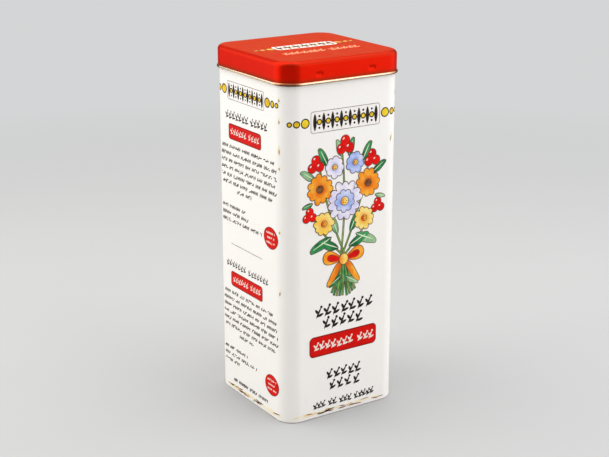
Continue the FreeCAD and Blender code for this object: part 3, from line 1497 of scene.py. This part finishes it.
@dataclass
class Brush:
    """Draws the print's small repeated ornaments onto a sheet."""

    sheet: Sheet
    dice: random.Random
    stroke: float = 0.17
    lean: float = 62.0
    twig_bend: float = 24.0
    group_gap: float = 0.7
    ring: float = 0.55

    def sprig(self, ink: Finish, across: float, up: float, height: float, level: int) -> None:
        """Draws a slanted twig with a leaf on either side and a berry at its tip.

        Args:
            ink: the ink.
            across: the place of the sprig's foot.
            up: the height of the sprig's foot.
            height: how tall the sprig is.
            level: how high it lies over other print.
        """
        lean = self.lean + self.dice.uniform(-5, 5)
        twig = Lens(steps=48, rooted=True, bend=self.dice.choice((-self.twig_bend, self.twig_bend)))
        leaf = Lens(steps=48, rooted=True)
        thick = self.stroke * height
        parts = (
            (twig, 0.0, 1.0, thick, lean),
            (leaf, 0.40, 0.46, 1.25 * thick, lean + 58.0 + self.dice.uniform(-8, 8)),
            (leaf, 0.14, 0.60, 1.25 * thick, lean - 44.0 + self.dice.uniform(-8, 8)),
        )
        onward = Vector((math.cos(math.radians(lean)), math.sin(math.radians(lean))))
        for shape, share, long, wide, turn in parts:
            spot = Vector((across, up)) + onward * share * height
            long *= height * self.dice.uniform(0.92, 1.06)
            self.sheet.add(ink, shape, *spot, length=long, width=wide, turn=turn, level=level)
        tip = Vector((across, up)) + onward * 0.98 * height
        berry = 1.3 * thick
        self.sheet.add(ink, Disc(16), *tip, length=berry, width=berry, level=level)

    def sprig_row(self, row: Row, middle: float = 0.0) -> None:
        """Draws a row of sprigs in groups.

        Args:
            row: the row.
            middle: where its ends are measured from.
        """
        left, right = middle + row.left, middle + row.right
        pitch = (right - left) / (sum(row.groups) + self.group_gap * (len(row.groups) - 1))
        across = left + 0.18 * pitch
        for count in row.groups:
            for _ in range(count):
                rise = self.dice.uniform(-0.05, 0.05) * row.height
                self.sprig(row.ink, across, row.foot + rise, row.height, row.level)
                across += pitch
            across += self.group_gap * pitch

    def fleck_row(self, row: Row) -> None:
        """Draws a row of slanted flecks in uneven groups.

        Args:
            row: the row.
        """
        straight = Lens(steps=18)
        curved = Lens(steps=18, bend=60.0)
        group_sizes = (4, 11)
        height = row.height
        pitch = 0.39 * height
        across = row.left
        left_in_group = self.dice.randint(*group_sizes)
        while across < row.right:
            lying = self.dice.random() < 0.3
            turn = self.dice.uniform(4, 24) if lying else self.dice.uniform(56, 80)
            long = height * (self.dice.uniform(0.45, 0.6) if lying else self.dice.uniform(0.8, 1.05))
            shape = curved if self.dice.random() < 0.4 else straight
            up = row.foot + height * (self.dice.uniform(0.15, 0.85) if lying else 0.5)
            sizes = {"length": long, "width": 0.27 * height, "turn": turn, "level": row.level}
            self.sheet.add(row.ink, shape, across, up, **sizes)
            across += pitch * self.dice.uniform(0.85, 1.15)
            left_in_group -= 1
            if left_in_group == 0:
                across += 1.6 * pitch
                left_in_group = self.dice.randint(*group_sizes)

    def ornament(self, plan: Ornament, middle: float = 0.0) -> None:
        """Draws an ornament: its ground, its outline, its band and its beads.

        Args:
            plan: the ornament.
            middle: the panel's middle.
        """
        spot = (middle + plan.across, plan.up)
        self.sheet.add(plan.ground_ink, Plaque(*plan.ground), *spot)
        if plan.line:
            self.sheet.add(Palette.GREY, Hoop(*plan.ground, plan.line), *spot, level=1)
        self.lozenge_band(plan, middle)
        self.beads(plan, middle + plan.beads_left, -1)
        self.beads(plan, middle + plan.beads_right, 1)

    def lozenge_band(self, plan: Ornament, middle: float) -> None:
        """Draws a row of tall pointed shapes with a ringed bead and two dots between each pair.

        Args:
            plan: the ornament that the band belongs to.
            middle: the panel's middle.
        """
        band = plan.band
        dots = (
            (0.0, 0.36, band.ink, 1),
            (0.0, 0.22, plan.bright, 2),
            (0.33, 0.13, band.ink, 2),
            (-0.33, 0.13, band.ink, 2),
        )
        left, right = middle + band.left, middle + band.right
        pitch = (right - left) / (plan.count - 1)
        middle_up = band.foot + band.height / 2
        tall = {"length": band.height, "width": plan.thick * band.height, "turn": 90, "level": 2}
        for index in range(plan.count):
            across = left + index * pitch
            self.sheet.add(band.ink, Lens(), across, middle_up, **tall)
            if index == plan.count - 1:
                break
            for rise, share, ink, level in dots:
                size = share * band.height
                spot = (across + pitch / 2, middle_up + rise * band.height)
                self.sheet.add(ink, Disc(24), *spot, length=size, width=size, level=level)

    def beads(self, plan: Ornament, across: float, way: int) -> None:
        """Draws three ringed beads that get smaller outwards.

        Args:
            plan: the ornament that the beads belong to.
            across: the largest bead's middle.
            way: 1 if they run to the right, -1 if to the left.
        """
        for share in (1.0, 0.64, 0.4):
            wide = plan.bead_size * share
            ringed = wide + 2 * self.ring
            self.sheet.add(plan.ring, Disc(), across, plan.beads_up, length=ringed, width=ringed)
            self.sheet.add(plan.bright, Disc(), across, plan.beads_up, length=wide, width=wide, level=1)
            across += way * (0.82 * wide + 2 * self.ring + 0.35)

    def red_plaque(self, size: tuple[float, float, float], line: float, across: float, up: float) -> None:
        """Draws a red plaque with a darker edge.

        Args:
            size: its length, width and corner radius.
            line: how thick the edge is.
            across: its middle.
            up: its height.
        """
        self.sheet.add(Palette.RED, Plaque(*size), across, up)
        self.sheet.add(Palette.RED_EDGE, Hoop(*size, line), across, up, level=1)


@dataclass
class FrontPanel:
    """The print of the front panel, and of the back."""

    sheet: Sheet
    middle: float

    ORNAMENT: ClassVar[Ornament] = Ornament(
        across=0.4,
        up=147.0,
        ground=(38.6, 10.2, 1.4),
        band=Row(Palette.BLACK, -16.6, 17.4, 142.9, 8.2),
        count=8,
        beads_left=-21.8,
        beads_right=22.6,
        beads_up=147.1,
    )
    ROWS: ClassVar[tuple[Row, ...]] = (
        Row(Palette.BLACK, -16.4, 17.2, 51.9, 6.3, (7,)),
        Row(Palette.BLACK, -11.9, 11.2, 45.2, 6.3, (5,)),
        Row(Palette.WHITE, -17.2, 18.0, 34.9, 4.6, (7, 3), level=2),
        Row(Palette.BLACK, -9.9, 10.9, 18.8, 5.6, (5,)),
        Row(Palette.BLACK, -8.4, 10.4, 12.7, 5.6, (4,)),
        Row(Palette.BLACK, -17.4, 18.6, 4.7, 3.9, (3, 2, 3, 5)),
    )

    def draw(self) -> None:
        """Draws the whole panel."""
        brush = Brush(self.sheet, random.Random(3))
        brush.ornament(self.ORNAMENT, self.middle)
        Bouquet(self.sheet, self.middle - 0.2).draw()
        brush.red_plaque((39.0, 10.5, 2.4), line=0.6, across=self.middle + 0.1, up=37.25)
        for row in self.ROWS:
            brush.sprig_row(row, self.middle)


@dataclass(frozen=True)
class Bloom:
    """One flower of the bouquet: its place over the tie, its size, its petals and its inks."""

    across: float
    up: float
    radius: float
    petals: int
    ink: Finish
    heart: Finish
    level: int = 4
    inner: Optional[Finish] = None


@dataclass
class Bouquet:
    """A tied bunch of flowers, leaves and berries, drawn with dark outlines and watery colours.

    Places are from the knot of the tie. The tables give each place across and up. A leaf then has the way
    it points, in degrees, and its length, and a cluster of berries has the size of each.
    """

    sheet: Sheet
    middle: float
    tie_up: float = 79.0
    outline: float = 0.30
    petal_width: float = 4.7
    inner_petals: int = 9
    stems_below: int = 9
    dice: random.Random = field(default_factory=lambda: random.Random(21))

    BLOOMS: ClassVar[tuple[Bloom, ...]] = (
        Bloom(-5.4, 45.6, 5.4, 8, Palette.LILAC, Palette.YELLOW, 4),
        Bloom(6.2, 46.4, 5.2, 8, Palette.BLUE, Palette.YELLOW, 4),
        Bloom(-13.6, 36.2, 7.2, 11, Palette.ORANGE, Palette.BROWN, 6),
        Bloom(13.6, 35.4, 7.0, 11, Palette.ORANGE, Palette.BROWN, 6),
        Bloom(-11.2, 19.2, 5.9, 10, Palette.YELLOW, Palette.ORANGE, 6),
        Bloom(11.6, 18.4, 5.7, 10, Palette.YELLOW, Palette.ORANGE, 6),
        Bloom(0.3, 28.6, 9.8, 13, Palette.LILAC, Palette.YELLOW, 8, Palette.BLUE),
    )
    STEM_TIPS: ClassVar[tuple[tuple[float, float], ...]] = (
        (-19.0, 24.0),
        (19.4, 23.2),
        (-15.6, 47.0),
        (15.6, 46.0),
        (0.4, 53.0),
    )
    LEAVES: ClassVar[tuple[tuple[float, float, float, float], ...]] = (
        (-16.0, 41.0, 148.0, 9.5),
        (15.8, 40.0, 34.0, 9.5),
        (-17.5, 30.0, 196.0, 6.0),
        (17.8, 29.0, -14.0, 6.0),
        (-9.0, 46.5, 118.0, 10.5),
        (10.0, 46.5, 62.0, 10.5),
        (-1.2, 50.0, 108.0, 9.0),
        (2.4, 50.0, 74.0, 9.0),
        (-7.0, 12.0, 205.0, 13.5),
        (7.0, 11.5, -25.0, 13.5),
        (-3.0, 6.0, 156.0, 12.5),
        (3.0, 6.0, 24.0, 12.5),
        (-3.4, 13.0, 110.0, 10.0),
        (3.6, 13.0, 66.0, 10.0),
        (-1.2, -8.0, 212.0, 8.5),
        (1.4, -9.0, -30.0, 8.5),
    )
    BERRIES: ClassVar[tuple[tuple[float, float, float], ...]] = (
        (-15.8, 48.0, 4.4),
        (15.8, 47.0, 4.4),
        (0.4, 55.2, 4.8),
        (-19.2, 24.2, 3.8),
        (19.4, 23.4, 3.8),
    )

    def draw(self) -> None:
        """Draws the whole bouquet, the flowers behind before the ones in front."""
        self.draw_stems()
        self.draw_leaves()
        self.draw_berries()
        for bloom in self.BLOOMS:
            self.draw_bloom(bloom)
        self.draw_tie()

    def plain(self, ink: Finish, shape: Stencil, across: float, up: float, **rest: float) -> None:
        """Draws a shape without an outline.

        Args:
            ink: the shape's ink.
            shape: its stencil.
            across: its place from the bouquet's middle.
            up: its height over the tie.
            rest: its length, width, turn and level.
        """
        self.sheet.add(ink, shape, self.middle + across, self.tie_up + up, **rest)

    def outlined(self, ink: Finish, shape: Stencil, across: float, up: float, **rest: float) -> None:
        """Draws a shape with a dark outline below it.

        Args:
            ink: the shape's ink.
            shape: its stencil, 1 long and 1 wide.
            across: its place from the bouquet's middle.
            up: its height over the tie.
            rest: its length, width, turn and level.
        """
        edge = self.outline
        turn = math.radians(rest.get("turn", 0.0))
        rooted = isinstance(shape, Petal) or getattr(shape, "rooted", False)
        back = edge * 0.8 if rooted else 0.0
        spot = (self.middle + across - back * math.cos(turn), self.tie_up + up - back * math.sin(turn))
        grown = dict(rest, length=rest["length"] + 2 * edge, width=rest["width"] + 2 * edge)
        grown["level"] = rest["level"] - 1
        self.sheet.add(Palette.CONTOUR, shape, *spot, **grown)
        self.plain(ink, shape, across, up, **rest)

    def draw_bloom(self, bloom: Bloom) -> None:
        """Draws one flower.

        Args:
            bloom: the flower.
        """
        start = self.dice.uniform(0, 360)
        wide = self.petal_width * bloom.radius / bloom.petals
        for index in range(bloom.petals):
            turn = start + 360.0 * index / bloom.petals + self.dice.uniform(-4, 4)
            long = bloom.radius * self.dice.uniform(0.90, 1.04)
            sizes = {"length": long, "width": wide, "turn": turn, "level": bloom.level}
            self.outlined(bloom.ink, Petal(), bloom.across, bloom.up, **sizes)
        if bloom.inner is not None:
            inner = {"length": 0.56 * bloom.radius, "width": 0.8 * wide, "level": bloom.level + 2}
            for index in range(self.inner_petals):
                turn = start + 20.0 + 40.0 * index
                self.outlined(bloom.inner, Petal(), bloom.across, bloom.up, turn=turn, **inner)
        self.draw_heart(bloom, start)

    def draw_heart(self, bloom: Bloom, start: float) -> None:
        """Draws a flower's heart with five dots on it.

        Args:
            bloom: the flower.
            start: the way of its first petal, in degrees.
        """
        size = (0.50 if bloom.inner is None else 0.42) * bloom.radius
        level = bloom.level + (4 if bloom.inner else 2)
        heart = {"length": size, "width": 0.92 * size, "level": level}
        self.outlined(bloom.heart, Disc(), bloom.across, bloom.up, **heart)
        dot = {"length": 0.5, "width": 0.5, "level": level + 1}
        for index in range(5):
            turn = math.radians(start + 72.0 * index)
            across = bloom.across + 0.26 * size * math.cos(turn)
            up = bloom.up + 0.24 * size * math.sin(turn)
            self.plain(Palette.CONTOUR, Disc(12), across, up, **dot)

    def draw_stems(self) -> None:
        """Draws the stems: fanned out below the tie, and up to the flowers and berries above it."""
        for index in range(self.stems_below):
            spread = index - self.stems_below // 2
            long = 18.6 - 0.35 * abs(spread) + self.dice.uniform(-0.8, 0.8)
            turn = -90.0 + 4.6 * spread
            line = Strip(long, 0.95, 10.0 * (1 if spread > 0 else -1))
            self.stroke(Palette.LEAF if index % 2 else Palette.MOSS, 0.25 * spread, line, turn)
        for across, up in self.STEM_TIPS:
            line = Strip(math.hypot(across, up), 0.7, math.copysign(16.0, across))
            self.stroke(Palette.MOSS, 0.0, line, math.degrees(math.atan2(up, across)))

    def stroke(self, ink: Finish, across: float, line: Strip, turn: float) -> None:
        """Draws a curved stroke from the tie, with a dark outline.

        Args:
            ink: its ink.
            across: its root from the bouquet's middle.
            line: its stencil.
            turn: the way it runs, in degrees.
        """
        edge = Strip(line.length + 0.3, line.width + 0.45, line.bend)
        self.plain(Palette.CONTOUR, edge, across, 0.0, turn=turn, level=0)
        self.plain(ink, line, across, 0.0, turn=turn, level=1)

    def draw_leaves(self) -> None:
        """Draws the leaves round the flowers and the pair below them, each with a vein."""
        for index, (across, up, turn, long) in enumerate(self.LEAVES):
            bend = 34.0 if math.cos(math.radians(turn)) < 0 else -34.0
            shape = Lens(steps=64, rooted=True, bend=bend)
            ink = Palette.LEAF if index % 3 else Palette.SAGE
            blade = {"length": long, "width": 0.34 * long, "turn": turn, "level": 3}
            self.outlined(ink, shape, across, up, **blade)
            vein = {"length": 0.86 * long, "width": 0.045 * long, "turn": turn, "level": 4}
            self.plain(Palette.MINT, shape, across, up, **vein)

    def draw_berries(self) -> None:
        """Draws red berries in threes, each with a highlight."""
        for across, up, size in self.BERRIES:
            berry = {"length": size, "width": size, "level": 5}
            shine = {"length": 0.26 * size, "width": 0.16 * size, "turn": 45.0, "level": 6}
            for turn in (90.0, 215.0, 330.0):
                berry_across = across + 0.56 * size * math.cos(math.radians(turn))
                berry_up = up + 0.50 * size * math.sin(math.radians(turn))
                self.outlined(Palette.BERRY, Disc(), berry_across, berry_up, **berry)
                spot = (self.middle + berry_across - 0.2 * size, self.tie_up + berry_up + 0.2 * size)
                self.sheet.add(Palette.WHITE, Disc(12), *spot, **shine)

    def draw_tie(self) -> None:
        """Draws the ribbon: two loops, two tails and the knot."""
        for side in (-1, 1):
            turn = 90.0 - side * 76.0
            loop = {"length": 11.0, "width": 6.4, "turn": turn, "level": 6}
            self.outlined(Palette.ORANGE, Petal(), side * 0.8, 0.0, **loop)
            fold = {"length": 7.6, "width": 3.0, "turn": turn, "level": 8}
            self.outlined(Palette.BERRY, Petal(), side * 1.6, 0.2, **fold)
            tail = Lens(steps=64, rooted=True, bend=side * 50.0)
            drop = {"length": 15.0, "width": 3.3, "turn": -90.0 + side * 34.0, "level": 6}
            self.outlined(Palette.ORANGE, tail, side * 0.6, -0.4, **drop)
        knot = {"length": 4.8, "width": 5.2, "level": 10}
        self.outlined(Palette.YELLOW, Disc(), 0.0, 0.0, **knot)


@dataclass
class Border:
    """The brushed caramel border round the foot, and the small dabs up each corner.

    A dab is given by its height and its length.
    """

    sheet: Sheet
    quarter: float
    washes: int = 9
    strokes: int = 30
    corner: float = 57.2
    dice: random.Random = field(default_factory=lambda: random.Random(17))

    LEVELS: ClassVar[dict[Finish, int]] = {Palette.BROWN: 1, Palette.AMBER: 2, Palette.BLACK: 3}
    INKS: ClassVar[tuple[Finish, ...]] = (Palette.BROWN, Palette.BLACK, Palette.AMBER, Palette.BROWN)
    FRONT_DABS: ClassVar[tuple[Span, ...]] = (
        (158.0, 2.6),
        (148.2, 3.0),
        (134.5, 4.6),
        (126.5, 2.2),
        (96.0, 1.8),
        (66.0, 3.4),
    )
    REAR_DABS: ClassVar[tuple[Span, ...]] = ((134.5, 4.6),)

    def draw(self) -> None:
        """Draws the border for two neighbouring panels, with the dabs at the right of each."""
        for panel, dabs in enumerate((self.FRONT_DABS, self.REAR_DABS)):
            start = panel * self.quarter
            self.draw_washes(start)
            self.draw_strokes(start)
            self.draw_dabs(start + self.corner, dabs)

    def draw_washes(self, start: float) -> None:
        """Draws the broad pale washes along one panel's foot.

        Args:
            start: where the panel starts.
        """
        for _ in range(self.washes):
            across = start + self.dice.uniform(5.0, 55.0)
            long = self.dice.uniform(8.0, 17.0)
            wide = self.dice.uniform(0.9, 1.9)
            sizes = {"length": long, "width": wide, "turn": self.dice.uniform(-4, 4)}
            self.sheet.add(Palette.CARAMEL, Lens(), across, self.dice.uniform(2.0, 3.0), **sizes)

    def draw_strokes(self, start: float) -> None:
        """Draws the short dark strokes along one panel's foot.

        Args:
            start: where the panel starts.
        """
        for _ in range(self.strokes):
            across = start + self.dice.triangular(4.0, 57.0, 18.0)
            long = self.dice.uniform(2.4, 6.5)
            wide = self.dice.uniform(0.3, 0.7)
            sizes = {"length": long, "width": wide, "turn": self.dice.uniform(-10, 10)}
            ink = self.dice.choice(self.INKS)
            up = self.dice.uniform(1.7, 3.3)
            self.sheet.add(ink, Lens(), across, up, level=self.LEVELS[ink], **sizes)

    def draw_dabs(self, across: float, dabs: Sequence[Span]) -> None:
        """Draws the dabs up one corner.

        Args:
            across: where they are on the sheet.
            dabs: their heights and lengths.
        """
        for up, long in dabs:
            turn = 90.0 + self.dice.uniform(-14, 6)
            dab = {"length": 1.3 * long, "width": 1.5, "turn": turn}
            core = {"length": 0.6 * long, "width": 0.7, "turn": turn, "level": 1}
            self.sheet.add(Palette.CARAMEL, Lens(bend=40.0), across, up, **dab)
            self.sheet.add(Palette.UMBER, Lens(), across + 0.1, up - 0.3, **core)


@dataclass(frozen=True)
class Block:
    """One block of the side panel: the first row's middle, the title, and where its last rows end."""

    top: float
    title: tuple[int, ...]
    tall: float
    left: float
    notes: tuple[float, ...]
    right: float = 47.6


@dataclass
class SidePanel:
    """The print of the left side, and of the right.

    Rises and drops within a block are from its first row's middle.
    """

    sheet: Sheet
    middle: float
    small: float = 2.3
    title_rise: float = 13.2
    plaque_rise: float = 7.5
    rows: int = 6
    row_pitch: float = 3.6
    row_ends: Span = (5.6, 55.8)
    short_drop: float = 22.7
    short_ends: Span = (20.3, 33.3)
    note_drop: float = 31.3
    note_pitch: float = 3.5
    note_left: float = 5.9
    seal_across: float = 50.2
    seal_drop: float = 36.5

    ORNAMENT: ClassVar[Ornament] = Ornament(
        across=-2.1,
        up=155.3,
        ground=(33.5, 8.9, 1.3),
        band=Row(Palette.BLACK, -17.0, 12.8, 151.7, 7.2),
        count=8,
        beads_left=-21.6,
        beads_right=17.4,
        beads_up=155.3,
        thick=0.24,
    )
    BLOCKS: ClassVar[tuple[Block, ...]] = (
        Block(127.9, (7, 5), tall=4.5, left=9.7, notes=(27.3, 29.3, 42.3)),
        Block(53.2, (7, 7), tall=3.7, left=8.3, notes=(27.3, 36.0, 19.5)),
    )

    def draw(self) -> None:
        """Draws the whole panel."""
        brush = Brush(self.sheet, random.Random(5), stroke=0.14)
        brush.ornament(self.ORNAMENT, self.middle)
        for block in self.BLOCKS:
            self.draw_block(brush, block)
        self.sheet.add(Palette.GREY, Plaque(29.0, 0.34, 0.1), self.middle - 2.8, 78.8)
        brush.fleck_row(Row(Palette.BLACK, 14.0, 46.5, foot=5.2, height=2.4))

    def draw_block(self, brush: Brush, block: Block) -> None:
        """Draws one block: a title, a plaque, rows of flecks and a red seal.

        Args:
            brush: what the rows are drawn with.
            block: the block's place and sizes.
        """
        ink, small, top = Palette.SMALL, self.small, block.top
        title = Row(ink, block.left, block.right, top + self.title_rise, block.tall, block.title)
        brush.sprig_row(title)
        brush.red_plaque((29.8, 7.7, 1.6), line=0.5, across=self.middle - 3.2, up=top + self.plaque_rise)
        brush.sprig_row(Row(Palette.WHITE, -16.3, 10.0, top + 6.0, 3.4, (6, 4), level=2), self.middle)
        left, right = self.row_ends
        for index in range(self.rows):
            shrink = 1.0 if index in (0, self.rows - 1) else 0.0
            foot = top - self.row_pitch * index - small / 2
            brush.fleck_row(Row(ink, left + shrink, right - 2.5 * shrink, foot, small))
        brush.fleck_row(Row(ink, *self.short_ends, top - self.short_drop, small))
        for index, reach in enumerate(block.notes):
            foot = top - self.note_drop - self.note_pitch * index
            brush.fleck_row(Row(ink, self.note_left, reach, foot, small))
        self.draw_seal(brush, top - self.seal_drop)

    def draw_seal(self, brush: Brush, up: float) -> None:
        """Draws a round red seal with three rows of white flecks.

        Args:
            brush: what the rows are drawn with.
            up: the seal's height.
        """
        across = self.seal_across
        self.sheet.add(Palette.RED_EDGE, Disc(64), across, up, length=12.4, width=10.8)
        self.sheet.add(Palette.RED, Disc(64), across, up, length=11.6, width=10.0, level=1)
        for rise, half in ((1.7, 3.6), (-0.7, 3.0), (-3.1, 3.8)):
            brush.fleck_row(Row(Palette.WHITE, across - half, across + half, up + rise, 1.4, level=2))


@dataclass
class LidPanel:
    """The print on the lid's flat top."""

    sheet: Sheet

    ORNAMENT: ClassVar[Ornament] = Ornament(
        across=0.0,
        up=1.6,
        ground=(33.4, 8.6, 2.2),
        band=Row(Palette.BLACK, -14.4, 14.4, -2.2, 7.6),
        count=7,
        beads_left=-19.0,
        beads_right=19.0,
        beads_up=1.6,
        bead_size=3.4,
        line=0.0,
        ground_ink=Palette.WHITE,
        bright=Palette.LID_GOLD,
        ring=Palette.BROWN,
    )

    def draw(self) -> None:
        """Draws the ornament and the row of sprigs in front of it."""
        brush = Brush(self.sheet, random.Random(7))
        brush.ornament(self.ORNAMENT)
        brush.sprig_row(Row(Palette.PEACH, -21.4, 20.8, -15.0, 5.4, (7, 5)))


@dataclass
class PrintWorks:
    """Everything printed on the tin."""

    sizes: TinSizes

    def build(self) -> None:
        """Draws the sheets, and lays them onto the walls and the lid."""
        walls = Sheet("print", Slot.BODY)
        quarter = self.sizes.quarter / MM
        SidePanel(walls, 0.5 * quarter).draw()
        FrontPanel(walls, 1.5 * quarter).draw()
        Border(walls, quarter).draw()
        walls.print(Mandrel(self.sizes).roll)
        top = Sheet("lid_print", Slot.LID, lowest=0.020 * MM)
        LidPanel(top).draw()
        top.print(self.lay_on_lid)

    def lay_on_lid(self, piece: Piece) -> None:
        """Lifts a flat piece onto the lid's top."""
        piece.location.z = self.sizes.lid_top_z
        place_in_mesh(piece)


# ---------------------------------------------------------------------------------------------------
# Studio
# ---------------------------------------------------------------------------------------------------


@dataclass(frozen=True)
class Softbox:
    """A large flat lamp that faces the tin and can't be seen itself."""

    name: str
    azimuth: float
    elevation: float
    distance: float
    width: float
    height: float
    power: float
    colour: Colour = (1.0, 1.0, 1.0)

    def hang(self, target: Vector) -> None:
        """Hangs the lamp facing a point.

        Args:
            target: the point that it faces.
        """
        away = direction(self.azimuth, self.elevation)
        lamp = bpy.data.lights.new(self.name, "AREA")
        lamp.shape = "RECTANGLE"
        lamp.size = self.width
        lamp.size_y = self.height
        lamp.energy = self.power
        lamp.color = self.colour
        holder = bpy.data.objects.new(self.name, lamp)
        holder.visible_camera = False
        holder.location = target + away * self.distance
        holder.rotation_euler = (-away).to_track_quat("-Z", "Y").to_euler()
        bpy.context.scene.collection.objects.link(holder)


def direction(azimuth: float, elevation: float) -> Vector:
    """Returns the way from the tin to a point round it.

    Args:
        azimuth: degrees round the tin, 0 in front of the front panel and 90 off its right side.
        elevation: degrees above the floor.

    Returns:
        A vector of length 1.
    """
    turn, lift = math.radians(azimuth), math.radians(elevation)
    return Vector((math.sin(turn) * math.cos(lift), -math.cos(turn) * math.cos(lift), math.sin(lift)))


@dataclass
class Studio:
    """The pale floor, the soft lamps and the camera.

    The floor fades into the backdrop between two distances from the tin.
    """

    backdrop: Colour = (0.66, 0.665, 0.67)
    floor_colour: Colour = (0.40, 0.402, 0.405)
    floor_wear: float = 0.985
    floor_half: float = 4.0
    floor_fades: Span = (0.28, 0.70)
    bounce: Colour = (0.30, 0.265, 0.23)
    fill: float = 0.72
    mirrored_fill: float = 0.12
    camera_azimuth: float = -33.06
    camera_elevation: float = 17.67
    camera_distance: float = 0.6440
    aim_height: float = 0.0853
    aim_right: float = -0.00086
    lens: float = 77.40
    nearest: float = 0.01
    farthest: float = 20.0

    SOFTBOXES: ClassVar[tuple[Softbox, ...]] = (
        Softbox("softbox_left", -120.0, 26.0, 0.65, 0.7, 1.0, 4.3, (1.0, 0.985, 0.945)),
        Softbox("softbox_right", 50.0, 26.0, 0.65, 1.0, 1.0, 4.7),
        Softbox("softbox_top", 147.0, 86.0, 0.9, 1.0, 1.0, 6.6),
        Softbox("softbox_back", 147.0, 25.0, 0.9, 0.6, 0.5, 0.40, (1.0, 0.9, 0.5)),
    )

    def build(self) -> None:
        """Sets up the whole studio."""
        self.lay_floor()
        self.light_world()
        for softbox in self.SOFTBOXES:
            softbox.hang(Vector((0, 0, self.aim_height)))
        self.set_camera()
        bpy.context.scene.view_settings.view_transform = "Standard"

    def lay_floor(self) -> None:
        """Lays a wide, plain floor: pale to the camera, and a brownish grey in what the tin mirrors."""
        bpy.ops.object.select_all(action="DESELECT")
        bpy.ops.mesh.primitive_plane_add(size=2 * self.floor_half, location=(0, 0, 0))
        floor = active()
        floor.name = "floor"
        material = bpy.data.materials.new("pale_floor")
        material.use_nodes = True
        material.node_tree.nodes.clear()
        board = Board(material.node_tree)
        seen = board.node("LightPath").outputs["Is Camera Ray"]
        worn = dimmed(self.floor_colour, self.floor_wear)
        mottled = board.mix(board.noise(board.place(), scale=18.0, detail=3.0), self.floor_colour, worn)
        colour = board.mix(seen, self.bounce, mottled)
        matt = board.put(board.node("BsdfDiffuse"), {"Color": colour})
        glow = board.put(board.node("Emission"), {"Color": opaque(self.backdrop), "Strength": 1.0})
        reach = board.node("VectorMath", operation="LENGTH")
        board.put(reach, {"Vector": board.place()})
        far = board.ramp(reach.outputs["Value"], self.floor_fades)
        board.blend(board.math("MULTIPLY", far, seen), matt, glow, "OutputMaterial")
        floor.data.materials.append(material)

    def light_world(self) -> None:
        """Fills the studio with an even light, dimmer in what the tin mirrors, behind the pale backdrop."""
        world = bpy.data.worlds.new("studio_world")
        world.use_nodes = True
        world.node_tree.nodes.clear()
        board = Board(world.node_tree)
        path = board.node("LightPath").outputs
        strength = board.ramp(path["Is Glossy Ray"], RISE, (self.fill, self.mirrored_fill))
        fill = board.put(board.node("Background"), {"Color": (1.0, 1.0, 1.0, 1.0), "Strength": strength})
        shown = board.put(board.node("Background"), {"Color": opaque(self.backdrop), "Strength": 1.0})
        board.blend(path["Is Camera Ray"], fill, shown, "OutputWorld")
        bpy.context.scene.world = world

    def set_camera(self) -> None:
        """Stands the camera to the left of the front corner, looking slightly down."""
        away = direction(self.camera_azimuth, self.camera_elevation)
        right = (-away).cross(Vector((0, 0, 1))).normalized()
        target = right * self.aim_right + Vector((0, 0, self.aim_height))
        lens = bpy.data.cameras.new("camera")
        lens.lens = self.lens
        lens.clip_start = self.nearest
        lens.clip_end = self.farthest
        camera = bpy.data.objects.new("camera", lens)
        camera.location = target + away * self.camera_distance
        camera.rotation_euler = (-away).to_track_quat("-Z", "Y").to_euler()
        bpy.context.scene.collection.objects.link(camera)
        bpy.context.scene.camera = camera


def main() -> None:
    """Builds the tin and the studio round it."""
    logging.basicConfig(level=logging.INFO, format="%(name)s %(message)s")
    sizes = TinSizes.from_frame()
    Studio().build()
    Metalwork(sizes).build()
    PrintWorks(sizes).build()


if __name__ == "__main__":
    main()
